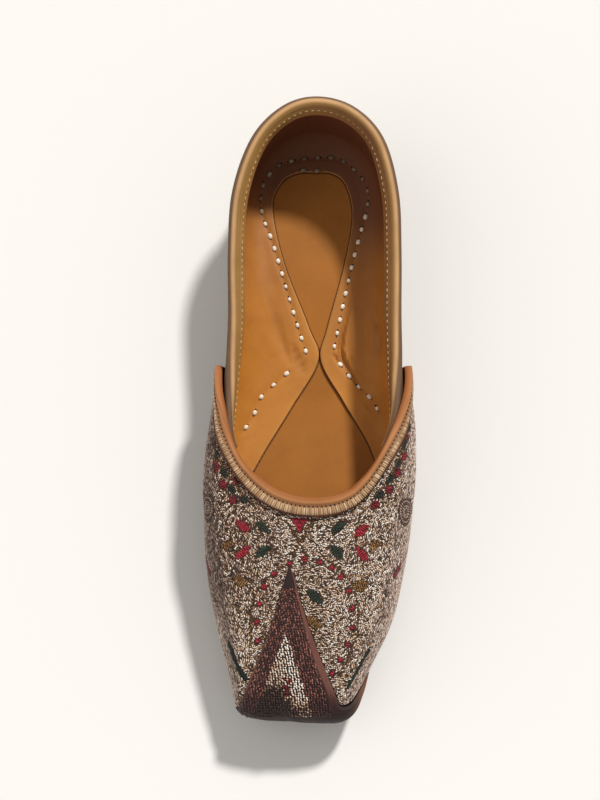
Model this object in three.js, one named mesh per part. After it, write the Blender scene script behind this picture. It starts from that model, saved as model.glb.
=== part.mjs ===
// A left mojari: a flat leather slip-on whose sole turns up at the toe and folds back over an embroidered vamp.
// Millimetres, +Z up. The heel is towards +Y, the toe towards -Y, and +X is the shoe's outer (lateral) side.
// Places along the shoe are given as a distance from the heel, so y = LENGTH / 2 - distance.
import * as THREE from "three";

// ---- Driving dimensions ----
const LENGTH = 256; // heel rim to the front of the toe fold
const SHIFT_X = 0.35; // moves the last's own axis to the middle of the finished shoe
const SHIFT_AT = 0.54; // the same along the shoe
const GAP = 0.3; // between pieces that touch
const WALL = 1.8; // quarter leather with its lining
const VAMP_WALL = 1.9; // embroidered vamp leather
const BAND_WALL = 1.1; // throat band
const BINDING_WALL = 1.2; // collar binding
const BINDING_LEG = 5.5; // how far the binding reaches down each side of the collar
const SOLE_THICK = 4.5;
const INSOLE_THICK = 2.0;
const MARGIN_THICK = 1.3; // edge of the lining where it lies on the insole
const HIDDEN_MARGIN = 8; // its width under the vamp
const TOE_MARGIN = 1; // and round the toe
const HEEL_RISE = 6; // height of the heel lift
const HEEL_FRONT = 60; // the lift's front edge
const HEEL_END = 58; // where the sole starts down from the lift
const BALL_START = 135; // where the sole comes down flat
const BALL_END = 188; // where the toe spring starts
const TOE_RISE = 10; // sole underside above the floor at the toe
const TOE_REACH = 62; // length over which the sole rises by that
const TOE_POWER = 1.7;
const WIDE_AT = 0.2; // share of a rib below the widest line

// ---- The last: one row for each rib, from the toe's centre round to the heel's centre ----
// wide: the upper's widest line. tuck: how far the feather edge lies inside it, on each side.
// belly: height of the widest line over the feather edge. edge: the top edge of the rib.
// skew: how far the lateral side of the toe is set forward. round: how soon a rib turns over. reach: share of
// the full turn that it makes.
// slope: its rise towards the top edge. welt: sole edge beyond the feather edge.
const COLUMNS = [
  "station",
  "wideAt", "skew", "wideMedial", "wideLateral", "tuckMedial", "tuckLateral", "belly",
  "edgeAt", "edgeMedial", "edgeLateral", "edgeZ",
  "round", "reach", "slope", "welt",
];
const RIBS = [
  ["toe centre", 250.4, 0, -7, -7, 2, 2, 4.5, 167.2, 1.6, 1.6, 45.5, 11, 1, 0.225, 4.6],
  ["toe front", 250.4, 0.7, -19.8, 5.8, 1.8, 1.8, 4.5, 167, -2.6, 5.8, 45.4, 10.5, 1, 0.222, 4.4],
  ["toe corner", 249.2, 1.1, -27.9, 13.1, 1.5, 1.5, 4.8, 166.3, -6.6, 9.8, 45.3, 10, 1, 0.215, 3.6],
  ["toe edge", 242.2, 0.6, -29.8, 18, 1.8, 1.8, 5, 165.1, -10.6, 13.4, 45.1, 9, 1, 0.205, 2.2],
  ["toe side", 233.5, 0, -32, 22.7, 2.6, 2.6, 5.5, 163.4, -14.4, 16.6, 44.9, 7, 1, 0.19, 1.8],
  ["small toe", 215.5, 0, -36.7, 31.6, 3, 3, 6.5, 160.4, -18.9, 20, 44.6, 4.5, 1, 0.16, 1.5],
  ["front ball", 196, 0, -40.5, 36.6, 3, 3, 7.5, 156.6, -23.5, 23.6, 44.3, 3.2, 1, 0.1, 1.5],
  ["ball", 176, 0, -42, 40, 3, 3, 8, 150.8, -28.4, 27.6, 44, 2.6, 1, 0.05, 1.5],
  ["back ball", 156, 0, -41.8, 41.6, 4, 3.5, 9.5, 142.3, -32, 32, 43.6, 2.3, 0.95, 0, 1.5],
  ["vamp side", 134, 0, -38.8, 40.8, 5.5, 4.5, 13, 129.5, -33.2, 35.3, 43.2, 2.1, 0.8, 0, 1.5],
  ["ear", 110.5, 0, -34.2, 37, 7, 5.5, 19, 110.5, -33.1, 36.5, 43, 2, 0.6, 0, 1.5],
  ["waist", 90, 0, -31.9, 35.4, 7.5, 5.5, 23, 90, -32.4, 36.4, 43.7, 2, 0.5, 0, 1.5],
  ["side", 64, 0, -31.4, 34.9, 5.5, 4.5, 20, 64, -32.6, 36.5, 46.5, 2, 0.5, 0, 1.5],
  ["heel side", 40, 0, -29.8, 33.6, 4.5, 4.5, 16, 39.5, -30.8, 35.3, 50.3, 2, 0.5, 0, 1.5],
  ["heel corner", 19, 0, -22.8, 28.2, 4.2, 4.2, 14, 18, -23, 29.2, 53.6, 2, 0.5, 0, 1.5],
  ["heel back", 7.2, 0, -11.2, 17, 4, 4, 13, 5.6, -11, 17.4, 55.2, 2, 0.5, 0, 1.5],
  ["heel centre", 3.5, 0, 2.6, 2.6, 4, 4, 13, 1.6, 2.6, 2.6, 55.6, 2, 0.5, 0, 1.5],
].map((row) => Object.fromEntries(COLUMNS.map((name, i) => [name, row[i]])));
const turnOf = (station) => RIBS.findIndex((row) => row.station === station);
const HEEL = RIBS.length - 1; // the heel's centre, as a turn; the toe's centre is turn 0
const LOOP = 2 * HEEL; // turns 0 to HEEL run along the lateral side, and back along the medial
const EAR = turnOf("ear"); // the vamp's sides end here
const TURN_STEP = 0.5;

// The lining's edge on the insole: slanting fronts, a waist where both sides meet, and a teardrop over the heel.
const MARGIN_COLUMNS = ["station", "medialAt", "medial", "lateralAt", "lateral"];
const MARGIN = [
  ["ball", 167, -31, 164, 30.6],
  ["back ball", 147, -22, 142, 26.2],
  ["vamp side", 124, -8.2, 121, 14.4],
  ["ear", 103.5, 3.5, 103.5, 4.7],
  ["waist", 89, -0.6, 89, 7.6],
  ["side", 62, -11, 60, 15.4],
  ["heel side", 37.5, -16.2, 40, 18.4],
  ["heel corner", 26, -12.6, 27, 15.6],
  ["heel back", 21.6, -5.6, 21.8, 10],
  ["heel centre", 21.2, 2.3, 21.2, 2.3],
].map((row) => Object.fromEntries(MARGIN_COLUMNS.map((name, i) => [name, row[i]])));
const MARGIN_START = turnOf(MARGIN[0].station);

// ---- The toe fold: a tapering tongue that lies back over the vamp ----
const CURL_X = -8.2; // its centre line
const CURL_WIDTH = 39; // how much wider than its nose it grows
const CURL_TIP = 194.6; // the tip's distance from the heel
const CURL_BASE = 249;
const CURL_TAPER = 1.32;
const CURL_NOSE = 3; // width of the rounded tip
const CURL_NOSE_LENGTH = 4.5;
const CURL_WINGS = [-2.1, 3.9]; // turns that the fold reaches round the toe, medially and laterally
const CURL_CLEAR = 1; // how far the fold stands off the vamp's leather
const CURL_EDGE = 2.2; // thickness at the tongue's edges
const CURL_WING_EDGE = 0.8; // thickness at the fold's ends
const CURL_CROWN = 2.2; // how much thicker the tongue is along its middle
const CURL_FOLD = 2.7; // thickness at the middle of the fold

// ---- Curves and surfaces ----
const catmull = (a, b, c, d, f) =>
  0.5 * (2 * b + (c - a) * f + (2 * a - 5 * b + 4 * c - d) * f * f + (3 * b - a - 3 * c + d) * f ** 3);
const mix = (a, b, f) => a + (b - a) * f;
const range = (from, to, steps) => Array.from({ length: steps + 1 }, (_, i) => mix(from, to, i / steps));
const smooth = (a, b, v) => {
  const f = Math.min(1, Math.max(0, (v - a) / (b - a)));
  return f * f * (3 - 2 * f);
};

// One rib's row, with its own side's numbers.
function ribRow(n) {
  const turn = ((n % LOOP) + LOOP) % LOOP;
  const lateral = turn <= HEEL;
  const row = RIBS[lateral ? turn : LOOP - turn];
  return {
    ...row,
    wideAt: row.wideAt + (lateral ? row.skew : 0),
    wideX: lateral ? row.wideLateral : row.wideMedial,
    edgeX: lateral ? row.edgeLateral : row.edgeMedial,
    tuck: lateral ? row.tuckLateral : row.tuckMedial,
  };
}

const CURVES = ["wideAt", "wideX", "edgeAt", "edgeX", "edgeZ", "tuck", "belly", "round", "reach", "slope", "welt"];
function ribAt(turn) {
  const base = Math.floor(turn);
  const [a, b, c, d] = [-1, 0, 1, 2].map((i) => ribRow(base + i));
  const rib = {};
  for (const name of CURVES) rib[name] = catmull(a[name], b[name], c[name], d[name], turn - base);
  rib.reach = Math.min(1, rib.reach);
  return rib;
}

const soleBottom = (at) =>
  at < BALL_END
    ? HEEL_RISE * (1 - smooth(HEEL_END, BALL_START, at))
    : TOE_RISE * ((at - BALL_END) / TOE_REACH) ** TOE_POWER;
const soleTop = (at) => soleBottom(at) + SOLE_THICK;
const insoleTop = (at) => soleTop(at) + GAP + INSOLE_THICK;

// The widest line moved inwards by some distance, as [x, distance from the heel].
function outline(turn, inward) {
  const e = 0.01;
  const [p, a, b] = [turn, turn - e, turn + e].map(ribAt);
  const tx = b.wideX - a.wideX;
  const ts = b.wideAt - a.wideAt;
  const l = Math.hypot(tx, ts);
  return [p.wideX + (ts / l) * inward, p.wideAt - (tx / l) * inward];
}
const featherLine = (turn, inward) => outline(turn, ribAt(turn).tuck + inward);

// The upper's outer face: h is 0 at the feather edge, WIDE_AT at the widest line and 1 at the top edge.
function face(turn, h) {
  const r = ribAt(turn);
  const low = Math.max(0, 1 - h / WIDE_AT);
  const feather = soleTop(featherLine(turn, 0)[1]) + GAP;
  const wideZ = feather + r.belly;
  if (low > 0) {
    const [x, at] = outline(turn, r.tuck * low * low);
    return [x, at, wideZ - r.belly * low];
  }
  const share = ((h - WIDE_AT) / (1 - WIDE_AT)) ** 2;
  const turnOver = (v) => Math.sqrt(1 - Math.max(0, 1 - v) ** r.round);
  const climb = r.slope * Math.hypot(r.edgeX - r.wideX, r.edgeAt - r.wideAt);
  const rise = (r.edgeZ - wideZ - climb) * (turnOver(share * r.reach) / turnOver(r.reach));
  return [mix(r.wideX, r.edgeX, share), mix(r.wideAt, r.edgeAt, share), wideZ + rise + climb * share];
}

// The same face moved outwards by some distance. At the feather edge it moves level, and stays on the sole.
function offsetFace(turn, h, out) {
  const e = 0.02;
  const p = face(turn, h);
  const step = (a, b) => new THREE.Vector3(...b).sub(new THREE.Vector3(...a));
  const along = step(face(turn - e, h), face(turn + e, h));
  const up = step(face(turn, Math.max(0, h - e)), face(turn, Math.min(1, h + e)));
  const n = up.cross(along);
  n.z *= smooth(0, WIDE_AT, h);
  n.normalize();
  const at = p[1] + n.y * out;
  const onSole = (soleTop(at) - soleTop(p[1])) * Math.max(0, 1 - h / WIDE_AT);
  return [p[0] + n.x * out, at, p[2] + n.z * out + onSole];
}

// A point near a rib's own top row: out from the face, and beyond the row along the leather.
function pastEdge(turn, h, out, beyond) {
  const top = new THREE.Vector3(...offsetFace(turn, h, out));
  const below = new THREE.Vector3(...offsetFace(turn, h - 0.03, out));
  const up = top.clone().sub(below).normalize();
  return top.addScaledVector(up, beyond).toArray();
}

// The height along a rib whose distance down from the top edge is some arc length.
function heightBelow(turn, top, distance) {
  const step = 0.005;
  let length = 0;
  let last = face(turn, top);
  for (let h = top - step; h > 0; h -= step) {
    const p = face(turn, h);
    length += Math.hypot(p[0] - last[0], p[1] - last[1], p[2] - last[2]);
    if (length > distance) return h;
    last = p;
  }
  return 0;
}

const fromToe = (turn) => Math.min(Math.abs(turn), Math.abs(LOOP - turn));
const turnsBetween = (from, to) => range(from, to, Math.round((to - from) / TURN_STEP));
const ROWS = [...range(0, WIDE_AT, 3), ...range(WIDE_AT, 1, 10).slice(1)];

// ---- Solids ----
// Joins rings of points into one closed body. A ring's first half lies opposite its second half, read
// backwards, and an open sweep's end caps are drawn between the two.
function sweep(rings, closed = false) {
  const points = [];
  const index = new Map();
  const place = ([x, at, z]) => {
    const p = [x + SHIFT_X, LENGTH / 2 - at + SHIFT_AT, z];
    const key = p.map((v) => v.toFixed(3)).join(" ");
    if (!index.has(key)) {
      index.set(key, points.length / 3);
      points.push(...p);
    }
    return index.get(key);
  };
  const ids = rings.map((ring) => ring.map(place));
  const triangles = [];
  const triangle = (a, b, c) => {
    if (a !== b && b !== c && a !== c) triangles.push(a, b, c);
  };
  const quad = (a, b, c, d) => {
    triangle(a, b, c);
    triangle(a, c, d);
  };
  const n = ids[0].length;
  const last = closed ? ids.length : ids.length - 1;
  for (let i = 0; i < last; i++) {
    const [a, b] = [ids[i], ids[(i + 1) % ids.length]];
    for (let j = 0; j < n; j++) quad(a[j], b[j], b[(j + 1) % n], a[(j + 1) % n]);
  }
  if (!closed)
    for (let j = 0; j < n / 2 - 1; j++) {
      const [a, b] = [ids[0], ids[ids.length - 1]];
      quad(a[j], a[j + 1], a[n - 2 - j], a[n - 1 - j]);
      quad(b[j], b[n - 1 - j], b[n - 2 - j], b[j + 1]);
    }
  return bodyOf(points, triangles);
}

// A geometry whose faces point outwards.
function bodyOf(points, triangles) {
  const at = (i) => new THREE.Vector3().fromArray(points, 3 * i);
  let volume = 0;
  for (let i = 0; i < triangles.length; i += 3)
    volume += at(triangles[i]).dot(at(triangles[i + 1]).cross(at(triangles[i + 2])));
  if (volume < 0)
    for (let i = 0; i < triangles.length; i += 3)
      [triangles[i + 1], triangles[i + 2]] = [triangles[i + 2], triangles[i + 1]];
  const geometry = new THREE.BufferGeometry();
  geometry.setAttribute("position", new THREE.Float32BufferAttribute(points, 3));
  geometry.setIndex(triangles);
  geometry.computeVertexNormals();
  return geometry;
}

// A plate across the shoe between two heights, from one turn back to the heel.
function plate(turns, inward, low, high, steps) {
  const ring = (turn) => {
    const lateral = featherLine(turn, inward(turn));
    const medial = featherLine(LOOP - turn, inward(turn));
    const across = range(0, 1, steps).map((f) => [mix(medial[0], lateral[0], f), mix(medial[1], lateral[1], f)]);
    const level = (height) => across.map(([x, at]) => [x, at, height(at)]);
    return [...level(high), ...level(low).reverse()];
  };
  return sweep(turns.map(ring));
}

const outsole = () => plate(turnsBetween(0, HEEL), (turn) => -ribAt(turn).welt, soleBottom, soleTop, 6);

function heelLift() {
  const front = range(0, HEEL, 400).find((turn) => featherLine(turn, 0)[1] < HEEL_FRONT);
  return plate(range(front, HEEL, 14), () => 0.4, () => 0, () => HEEL_RISE - GAP, 4);
}

function insole() {
  const base = (at) => soleTop(at) + GAP;
  return plate(turnsBetween(0, HEEL), () => WALL + 1, base, insoleTop, 6);
}

const hiddenMargin = (turn) => {
  const width = mix(TOE_MARGIN, HIDDEN_MARGIN, smooth(turnOf("toe edge"), turnOf("small toe"), fromToe(turn)));
  return featherLine(turn, WALL + width);
};

// The lining's inner edge on the insole at a turn, as [x, distance from the heel].
function marginEdge(turn) {
  const pick = (n) => {
    const lateral = n <= HEEL;
    const own = lateral ? n : LOOP - n;
    if (own < MARGIN_START) return hiddenMargin(n);
    const row = MARGIN[own - MARGIN_START];
    return lateral ? [row.lateral, row.lateralAt] : [row.medial, row.medialAt];
  };
  const base = Math.floor(turn);
  if (fromToe(turn) < MARGIN_START - 1) return hiddenMargin(turn);
  const [a, b, c, d] = [-1, 0, 1, 2].map((i) => pick((base + i + LOOP) % LOOP));
  return [0, 1].map((i) => catmull(a[i], b[i], c[i], d[i], turn - base));
}

// The lining comes down the wall, turns inwards in a soft curve and lies on the insole up to its edge.
function upperSection(turn) {
  const foot = featherLine(turn, WALL);
  const edge = marginEdge(turn);
  const span = Math.hypot(edge[0] - foot[0], edge[1] - foot[1]);
  const bend = Math.min(11, 0.55 * span);
  const onFloor = (distance, lift) => {
    const [x, at] = [0, 1].map((i) => mix(foot[i], edge[i], distance / span));
    return [x, at, insoleTop(at) + GAP + lift];
  };
  const corner = onFloor(0, MARGIN_THICK);
  const bendTop = range(1, 0, 200).find((h) => offsetFace(turn, h, -WALL)[2] < corner[2] + bend);
  const top = offsetFace(turn, bendTop, -WALL);
  const end = onFloor(bend, MARGIN_THICK);
  const curve = [0.25, 0.5, 0.75].map((f) => corner.map((c, i) => mix(mix(top[i], c, f), mix(c, end[i], f), f)));
  return [
    ...ROWS.map((h) => offsetFace(turn, h, 0)),
    ...range(1, bendTop, 6).map((h) => offsetFace(turn, h, -WALL)),
    ...curve,
    end,
    onFloor(mix(bend, span, 0.5), MARGIN_THICK),
    onFloor(span, MARGIN_THICK),
    onFloor(span, 0),
    onFloor(mix(bend, span, 0.5), 0),
    onFloor(bend, 0),
    onFloor(0.1, 0),
    offsetFace(turn, 0, -WALL),
  ];
}

const upper = () => sweep(turnsBetween(0, LOOP).slice(0, -1).map(upperSection), true);

// The vamp's sides stand off the quarters, because the collar binding runs inside them.
const EAR_ROUND = 1.2; // turns over which an ear's end is rounded
const EAR_DROP = 0.45; // how far down the rib it ends
function vampGap(turn, h) {
  const overBinding = smooth(5.9, 7.6, fromToe(turn)) * smooth(0.36, 0.56, h);
  return GAP + 0.1 + 0.15 * smooth(EAR - 1.6, EAR, fromToe(turn)) + 1.95 * overBinding;
}
const thinned = (turn) => 1 - 0.35 * smooth(6.5, EAR, fromToe(turn));
const vampTop = (turn) => {
  const f = Math.max(0, (fromToe(turn) - EAR + EAR_ROUND) / EAR_ROUND);
  return 1 - EAR_DROP * (1 - Math.sqrt(1 - Math.min(1, f) ** 2));
};

function vamp() {
  const ring = (turn) => {
    const rows = ROWS.map((h) => h * vampTop(turn));
    return [
      ...rows.map((h) => offsetFace(turn, h, vampGap(turn, h) + VAMP_WALL * thinned(turn))),
      ...rows.map((h) => offsetFace(turn, h, vampGap(turn, h))).reverse(),
    ];
  };
  return sweep(turnsBetween(-EAR, EAR).map(ring));
}

// A strip on the vamp along the throat, turned over the raw edges.
function throatBand() {
  const ring = (turn) => {
    const top = vampTop(turn);
    const low = heightBelow(turn, top, mix(7.8, 3, smooth(4.6, EAR, fromToe(turn))));
    const gap = GAP + 0.15 + 0.3 * smooth(6.5, EAR, fromToe(turn));
    const vampWall = VAMP_WALL * thinned(turn);
    const bandWall = BAND_WALL * thinned(turn);
    const under = vampGap(turn, top) + vampWall + gap;
    const inside = mix(-WALL, vampGap(turn, top), smooth(6.6, 7.4, fromToe(turn)));
    const strip = (out) => range(low, top, 4).map((h) => offsetFace(turn, h, vampGap(turn, h) + vampWall + out));
    const turned = (rise) =>
      [0.15, 0.5, 1].map((f) => pastEdge(turn, top, mix(under, inside, f), GAP + rise));
    return [...strip(gap + bandWall), ...turned(bandWall), ...turned(0).reverse(), ...strip(gap).reverse()];
  };
  return sweep(turnsBetween(-EAR, EAR).map(ring));
}

// A folded strip over the collar's edge, from under one side of the vamp round to the other.
function collarBinding() {
  const front = turnOf("vamp side") - 1.4;
  const ring = (turn) => {
    const low = heightBelow(turn, 1, BINDING_LEG);
    const gap = GAP + 0.1;
    const leg = (out) => range(low, 1, 3).map((h) => offsetFace(turn, h, out));
    const over = (extra, rise) =>
      [0.12, 0.5, 0.88].map((f) => pastEdge(turn, 1, mix(gap + extra, -WALL - gap - extra, f), gap + rise));
    return [
      ...leg(gap + BINDING_WALL),
      ...over(BINDING_WALL, BINDING_WALL),
      ...leg(-WALL - gap - BINDING_WALL).reverse(),
      ...leg(-WALL - gap),
      ...over(0, 0).reverse(),
      ...leg(gap).reverse(),
    ];
  };
  return sweep(turnsBetween(front, LOOP - front).map(ring));
}

// The tongue's half width at some distance from the heel.
function curlHalf(at) {
  const length = Math.max(0.1, at - CURL_TIP);
  const nose = CURL_NOSE * Math.sqrt(Math.min(1, length / CURL_NOSE_LENGTH));
  return (nose + CURL_WIDTH * (length / (CURL_BASE - CURL_TIP)) ** CURL_TAPER) / 2;
}

// The turn, near the toe, at which the face moved out lies at x, for height h.
function turnAtX(x, h, out) {
  let [low, high] = [-5, 5];
  for (let i = 0; i < 30; i++) {
    const middle = (low + high) / 2;
    if (offsetFace(middle, h, out)[0] < x) low = middle;
    else high = middle;
  }
  return (low + high) / 2;
}

function toeCurl() {
  const under = vampGap(0, 0) + VAMP_WALL + CURL_CLEAR;
  const tip = range(0, 1, 400).find((h) => h > WIDE_AT && face(0, h)[1] < CURL_TIP);
  const rows = [...range(0, WIDE_AT, 3), ...range(WIDE_AT, tip, 15).slice(1)];
  const ring = (h) => {
    const half = curlHalf(Math.min(CURL_BASE, face(0, h)[1]));
    const lifted = smooth(WIDE_AT * 0.7, WIDE_AT + 0.16, h);
    const foldTop = under + CURL_EDGE;
    const sides = [-1, 1].map((side, i) =>
      mix(CURL_WINGS[i], turnAtX(CURL_X + side * half, h, foldTop), lifted),
    );
    const edge = mix(CURL_WING_EDGE, CURL_EDGE, lifted);
    const middle = mix(CURL_FOLD, CURL_EDGE + CURL_CROWN * Math.min(1, half / 9), lifted);
    const across = range(0, 1, 16);
    const thick = (f) => mix(middle, edge, Math.abs(2 * f - 1) ** mix(6, 1.6, lifted));
    const layer = (out) => across.map((f) => offsetFace(mix(sides[0], sides[1], f), h, under + out(f)));
    return [...layer(thick), ...layer(() => 0).reverse()];
  };
  return sweep(rows.map(ring));
}

// ---- Assembly ----
const leather = (color, roughness) => new THREE.MeshStandardMaterial({ color, roughness, metalness: 0 });
const PIECES = [
  ["outsole", outsole, leather(0x6b4630, 0.6)],
  ["heel_lift", heelLift, leather(0x4a3022, 0.6)],
  ["insole", insole, leather(0xb87a3c, 0.5)],
  ["upper", upper, leather(0xbb7d42, 0.5)],
  ["vamp", vamp, leather(0xb3a48c, 0.55)],
  ["toe_curl", toeCurl, leather(0x55342a, 0.55)],
  ["throat_band", throatBand, leather(0xc49a6c, 0.5)],
  ["collar_binding", collarBinding, leather(0xb48a5c, 0.5)],
];

const mojari = new THREE.Group();
for (const [name, make, material] of PIECES) {
  const mesh = new THREE.Mesh(make(), material);
  mesh.name = name;
  mojari.add(mesh);
}

export default mojari;
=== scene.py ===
# The finish of a left mojari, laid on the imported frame: lining, bindings, turned-back toe, embroidered vamp.
# Shapes are worked out in millimetres on the shoe's own last and placed in metres. +Z is up, the toe is
# towards -Y and +X is the shoe's outer side. "at" is a place's distance from the heel along the shoe. A turn
# goes round the shoe: 0 at the toe's centre, along the outer side to HEEL, and back along the inner side.
import math

import bpy
import numpy as np
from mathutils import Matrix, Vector
from mathutils.bvhtree import BVHTree


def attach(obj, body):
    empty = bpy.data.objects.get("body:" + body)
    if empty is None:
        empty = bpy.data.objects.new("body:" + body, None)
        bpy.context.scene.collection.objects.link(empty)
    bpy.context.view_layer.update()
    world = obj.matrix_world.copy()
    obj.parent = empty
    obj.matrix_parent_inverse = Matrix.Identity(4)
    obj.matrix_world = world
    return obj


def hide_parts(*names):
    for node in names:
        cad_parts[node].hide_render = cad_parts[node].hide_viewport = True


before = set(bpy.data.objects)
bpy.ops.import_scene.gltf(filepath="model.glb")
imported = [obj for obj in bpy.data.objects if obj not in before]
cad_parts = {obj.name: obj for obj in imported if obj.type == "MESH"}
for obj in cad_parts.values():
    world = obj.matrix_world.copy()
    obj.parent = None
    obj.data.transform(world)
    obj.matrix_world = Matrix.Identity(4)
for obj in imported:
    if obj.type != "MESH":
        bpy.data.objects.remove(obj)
bpy.context.view_layer.update()

MM = 0.001

# ---- The last's dimensions ----
LENGTH = 256
SHIFT_X = 0.35 # the last lies this far off the frame's middle
SHIFT_AT = 0.54
GAP = 0.3 # between two layers of leather
# Thicknesses of the leathers.
WALL = 1.8
VAMP_WALL = 1.9
BAND_WALL = 1.1
BINDING_WALL = 1.2
SOLE_THICK = 4.5
INSOLE_THICK = 2.0
MARGIN_THICK = 1.3
BINDING_LEG = 5.5 # how far the binding reaches down on each side of the collar
HIDDEN_MARGIN = 8 # the lining's width on the insole, out of sight under the vamp
TOE_MARGIN = 1
# The sole's underside: high at the heel, on the floor at the ball and sprung at the toe.
HEEL_RISE = 6
HEEL_FRONT = 60
HEEL_END = 58
BALL_START = 135
BALL_END = 188
TOE_RISE = 10
TOE_REACH = 62
TOE_POWER = 1.7
WIDE_AT = 0.2 # the height, as a share of the upper's face, at which the shoe is widest
EAR_ROUND = 1.2 # turns over which the vamp's ears are rounded, and how far down
EAR_DROP = 0.45

# Ribs from the toe's centre round to the heel's centre. wide is the widest line, tuck how far the feather edge
# lies inside it and belly its height above the sole. edge is the top edge. round, reach and slope say how the
# face bends up to it, and welt how far the sole stands out.
RIB_COLUMNS = (
    "wide_at", "skew", "wide_medial", "wide_lateral", "tuck_medial", "tuck_lateral", "belly",
    "edge_at", "edge_medial", "edge_lateral", "edge_z", "round", "reach", "slope", "welt",
)
RIBS = {
    "toe centre": (250.4, 0, -7, -7, 2, 2, 4.5, 167.2, 1.6, 1.6, 45.5, 11, 1, 0.225, 4.6),
    "toe front": (250.4, 0.7, -19.8, 5.8, 1.8, 1.8, 4.5, 167, -2.6, 5.8, 45.4, 10.5, 1, 0.222, 4.4),
    "toe corner": (249.2, 1.1, -27.9, 13.1, 1.5, 1.5, 4.8, 166.3, -6.6, 9.8, 45.3, 10, 1, 0.215, 3.6),
    "toe edge": (242.2, 0.6, -29.8, 18, 1.8, 1.8, 5, 165.1, -10.6, 13.4, 45.1, 9, 1, 0.205, 2.2),
    "toe side": (233.5, 0, -32, 22.7, 2.6, 2.6, 5.5, 163.4, -14.4, 16.6, 44.9, 7, 1, 0.19, 1.8),
    "small toe": (215.5, 0, -36.7, 31.6, 3, 3, 6.5, 160.4, -18.9, 20, 44.6, 4.5, 1, 0.16, 1.5),
    "front ball": (196, 0, -40.5, 36.6, 3, 3, 7.5, 156.6, -23.5, 23.6, 44.3, 3.2, 1, 0.1, 1.5),
    "ball": (176, 0, -42, 40, 3, 3, 8, 150.8, -28.4, 27.6, 44, 2.6, 1, 0.05, 1.5),
    "back ball": (156, 0, -41.8, 41.6, 4, 3.5, 9.5, 142.3, -32, 32, 43.6, 2.3, 0.95, 0, 1.5),
    "vamp side": (134, 0, -38.8, 40.8, 5.5, 4.5, 13, 129.5, -33.2, 35.3, 43.2, 2.1, 0.8, 0, 1.5),
    "ear": (110.5, 0, -34.2, 37, 7, 5.5, 19, 110.5, -33.1, 36.5, 43, 2, 0.6, 0, 1.5),
    "waist": (90, 0, -31.9, 35.4, 7.5, 5.5, 23, 90, -32.4, 36.4, 43.7, 2, 0.5, 0, 1.5),
    "side": (64, 0, -31.4, 34.9, 5.5, 4.5, 20, 64, -32.6, 36.5, 46.5, 2, 0.5, 0, 1.5),
    "heel side": (40, 0, -29.8, 33.6, 4.5, 4.5, 16, 39.5, -30.8, 35.3, 50.3, 2, 0.5, 0, 1.5),
    "heel corner": (19, 0, -22.8, 28.2, 4.2, 4.2, 14, 18, -23, 29.2, 53.6, 2, 0.5, 0, 1.5),
    "heel back": (7.2, 0, -11.2, 17, 4, 4, 13, 5.6, -11, 17.4, 55.2, 2, 0.5, 0, 1.5),
    "heel centre": (3.5, 0, 2.6, 2.6, 4, 4, 13, 1.6, 2.6, 2.6, 55.6, 2, 0.5, 0, 1.5),
}
STATIONS = list(RIBS)
HEEL = len(STATIONS) - 1
LOOP = 2 * HEEL
EAR = STATIONS.index("ear")

# The lining's edge on the insole: (medial at, medial x, lateral at, lateral x).
MARGIN = {
    "ball": (167, -31, 164, 30.6),
    "back ball": (147, -22, 142, 26.2),
    "vamp side": (124, -8.2, 121, 14.4),
    "ear": (103.5, 3.5, 103.5, 4.7),
    "waist": (89, -0.6, 89, 7.6),
    "side": (62, -11, 60, 15.4),
    "heel side": (37.5, -16.2, 40, 18.4),
    "heel corner": (26, -12.6, 27, 15.6),
    "heel back": (21.6, -5.6, 21.8, 10),
    "heel centre": (21.2, 2.3, 21.2, 2.3),
}
MARGIN_START = STATIONS.index("ball")

# ---- The toe fold ----
CURL_X = -8.2 # its middle line
CURL_WIDTH = 39
CURL_TIP = 194.6
CURL_BASE = 249
CURL_TAPER = 1.32
CURL_NOSE = 3 # its tip is this wide, and rounded over this length
CURL_NOSE_LENGTH = 4.5
CURL_WINGS = (-2.1, 3.9) # the turns of its ends round the toe's front
CURL_CLEAR = 1 # between the vamp and the tongue
CURL_EDGE = 2.2 # thicknesses at the tongue's sides, at its ends, in its middle and at the fold
CURL_WING_EDGE = 0.8
CURL_CROWN = 2.2
CURL_FOLD = 2.7


# ---- Curves and surfaces ----
def mix(a, b, f):
    return a + (b - a) * f


def smooth(low, high, value):
    f = np.clip((value - low) / (high - low), 0, 1)
    return f * f * (3 - 2 * f)


def catmull(a, b, c, d, f):
    return 0.5 * (2 * b + (c - a) * f + (2 * a - 5 * b + 4 * c - d) * f**2 + (3 * b - a - 3 * c + d) * f**3)


def unit(v):
    return v / np.maximum(np.linalg.norm(v, axis=-1, keepdims=True), 1e-9)


CURVES = (
    "wide_at", "wide_x", "edge_at", "edge_x", "edge_z", "tuck", "belly", "round", "reach", "slope", "welt",
)


def rib_row(n):
    """One rib's row, with its own side's numbers."""
    lateral = n <= HEEL
    row = dict(zip(RIB_COLUMNS, RIBS[STATIONS[n if lateral else LOOP - n]]))
    side = "lateral" if lateral else "medial"
    row["wide_at"] += row["skew"] if lateral else 0
    row["wide_x"] = row["wide_" + side]
    row["edge_x"] = row["edge_" + side]
    row["tuck"] = row["tuck_" + side]
    return [row[name] for name in CURVES]


RIB_TABLE = np.array([rib_row(n) for n in range(LOOP)], dtype=float)


def ribs_at(turn):
    base = np.floor(turn).astype(int)
    rows = [RIB_TABLE[(base + i) % LOOP] for i in (-1, 0, 1, 2)]
    values = catmull(*rows, (turn - base)[..., None])
    ribs = {name: values[..., i] for i, name in enumerate(CURVES)}
    ribs["reach"] = np.minimum(1, ribs["reach"])
    return ribs


def sole_bottom(at):
    arch = HEEL_RISE * (1 - smooth(HEEL_END, BALL_START, at))
    spring = np.maximum(0, at - BALL_END) / TOE_REACH
    return np.where(at < BALL_END, arch, TOE_RISE * spring**TOE_POWER)


def sole_top(at):
    return sole_bottom(at) + SOLE_THICK


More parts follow.
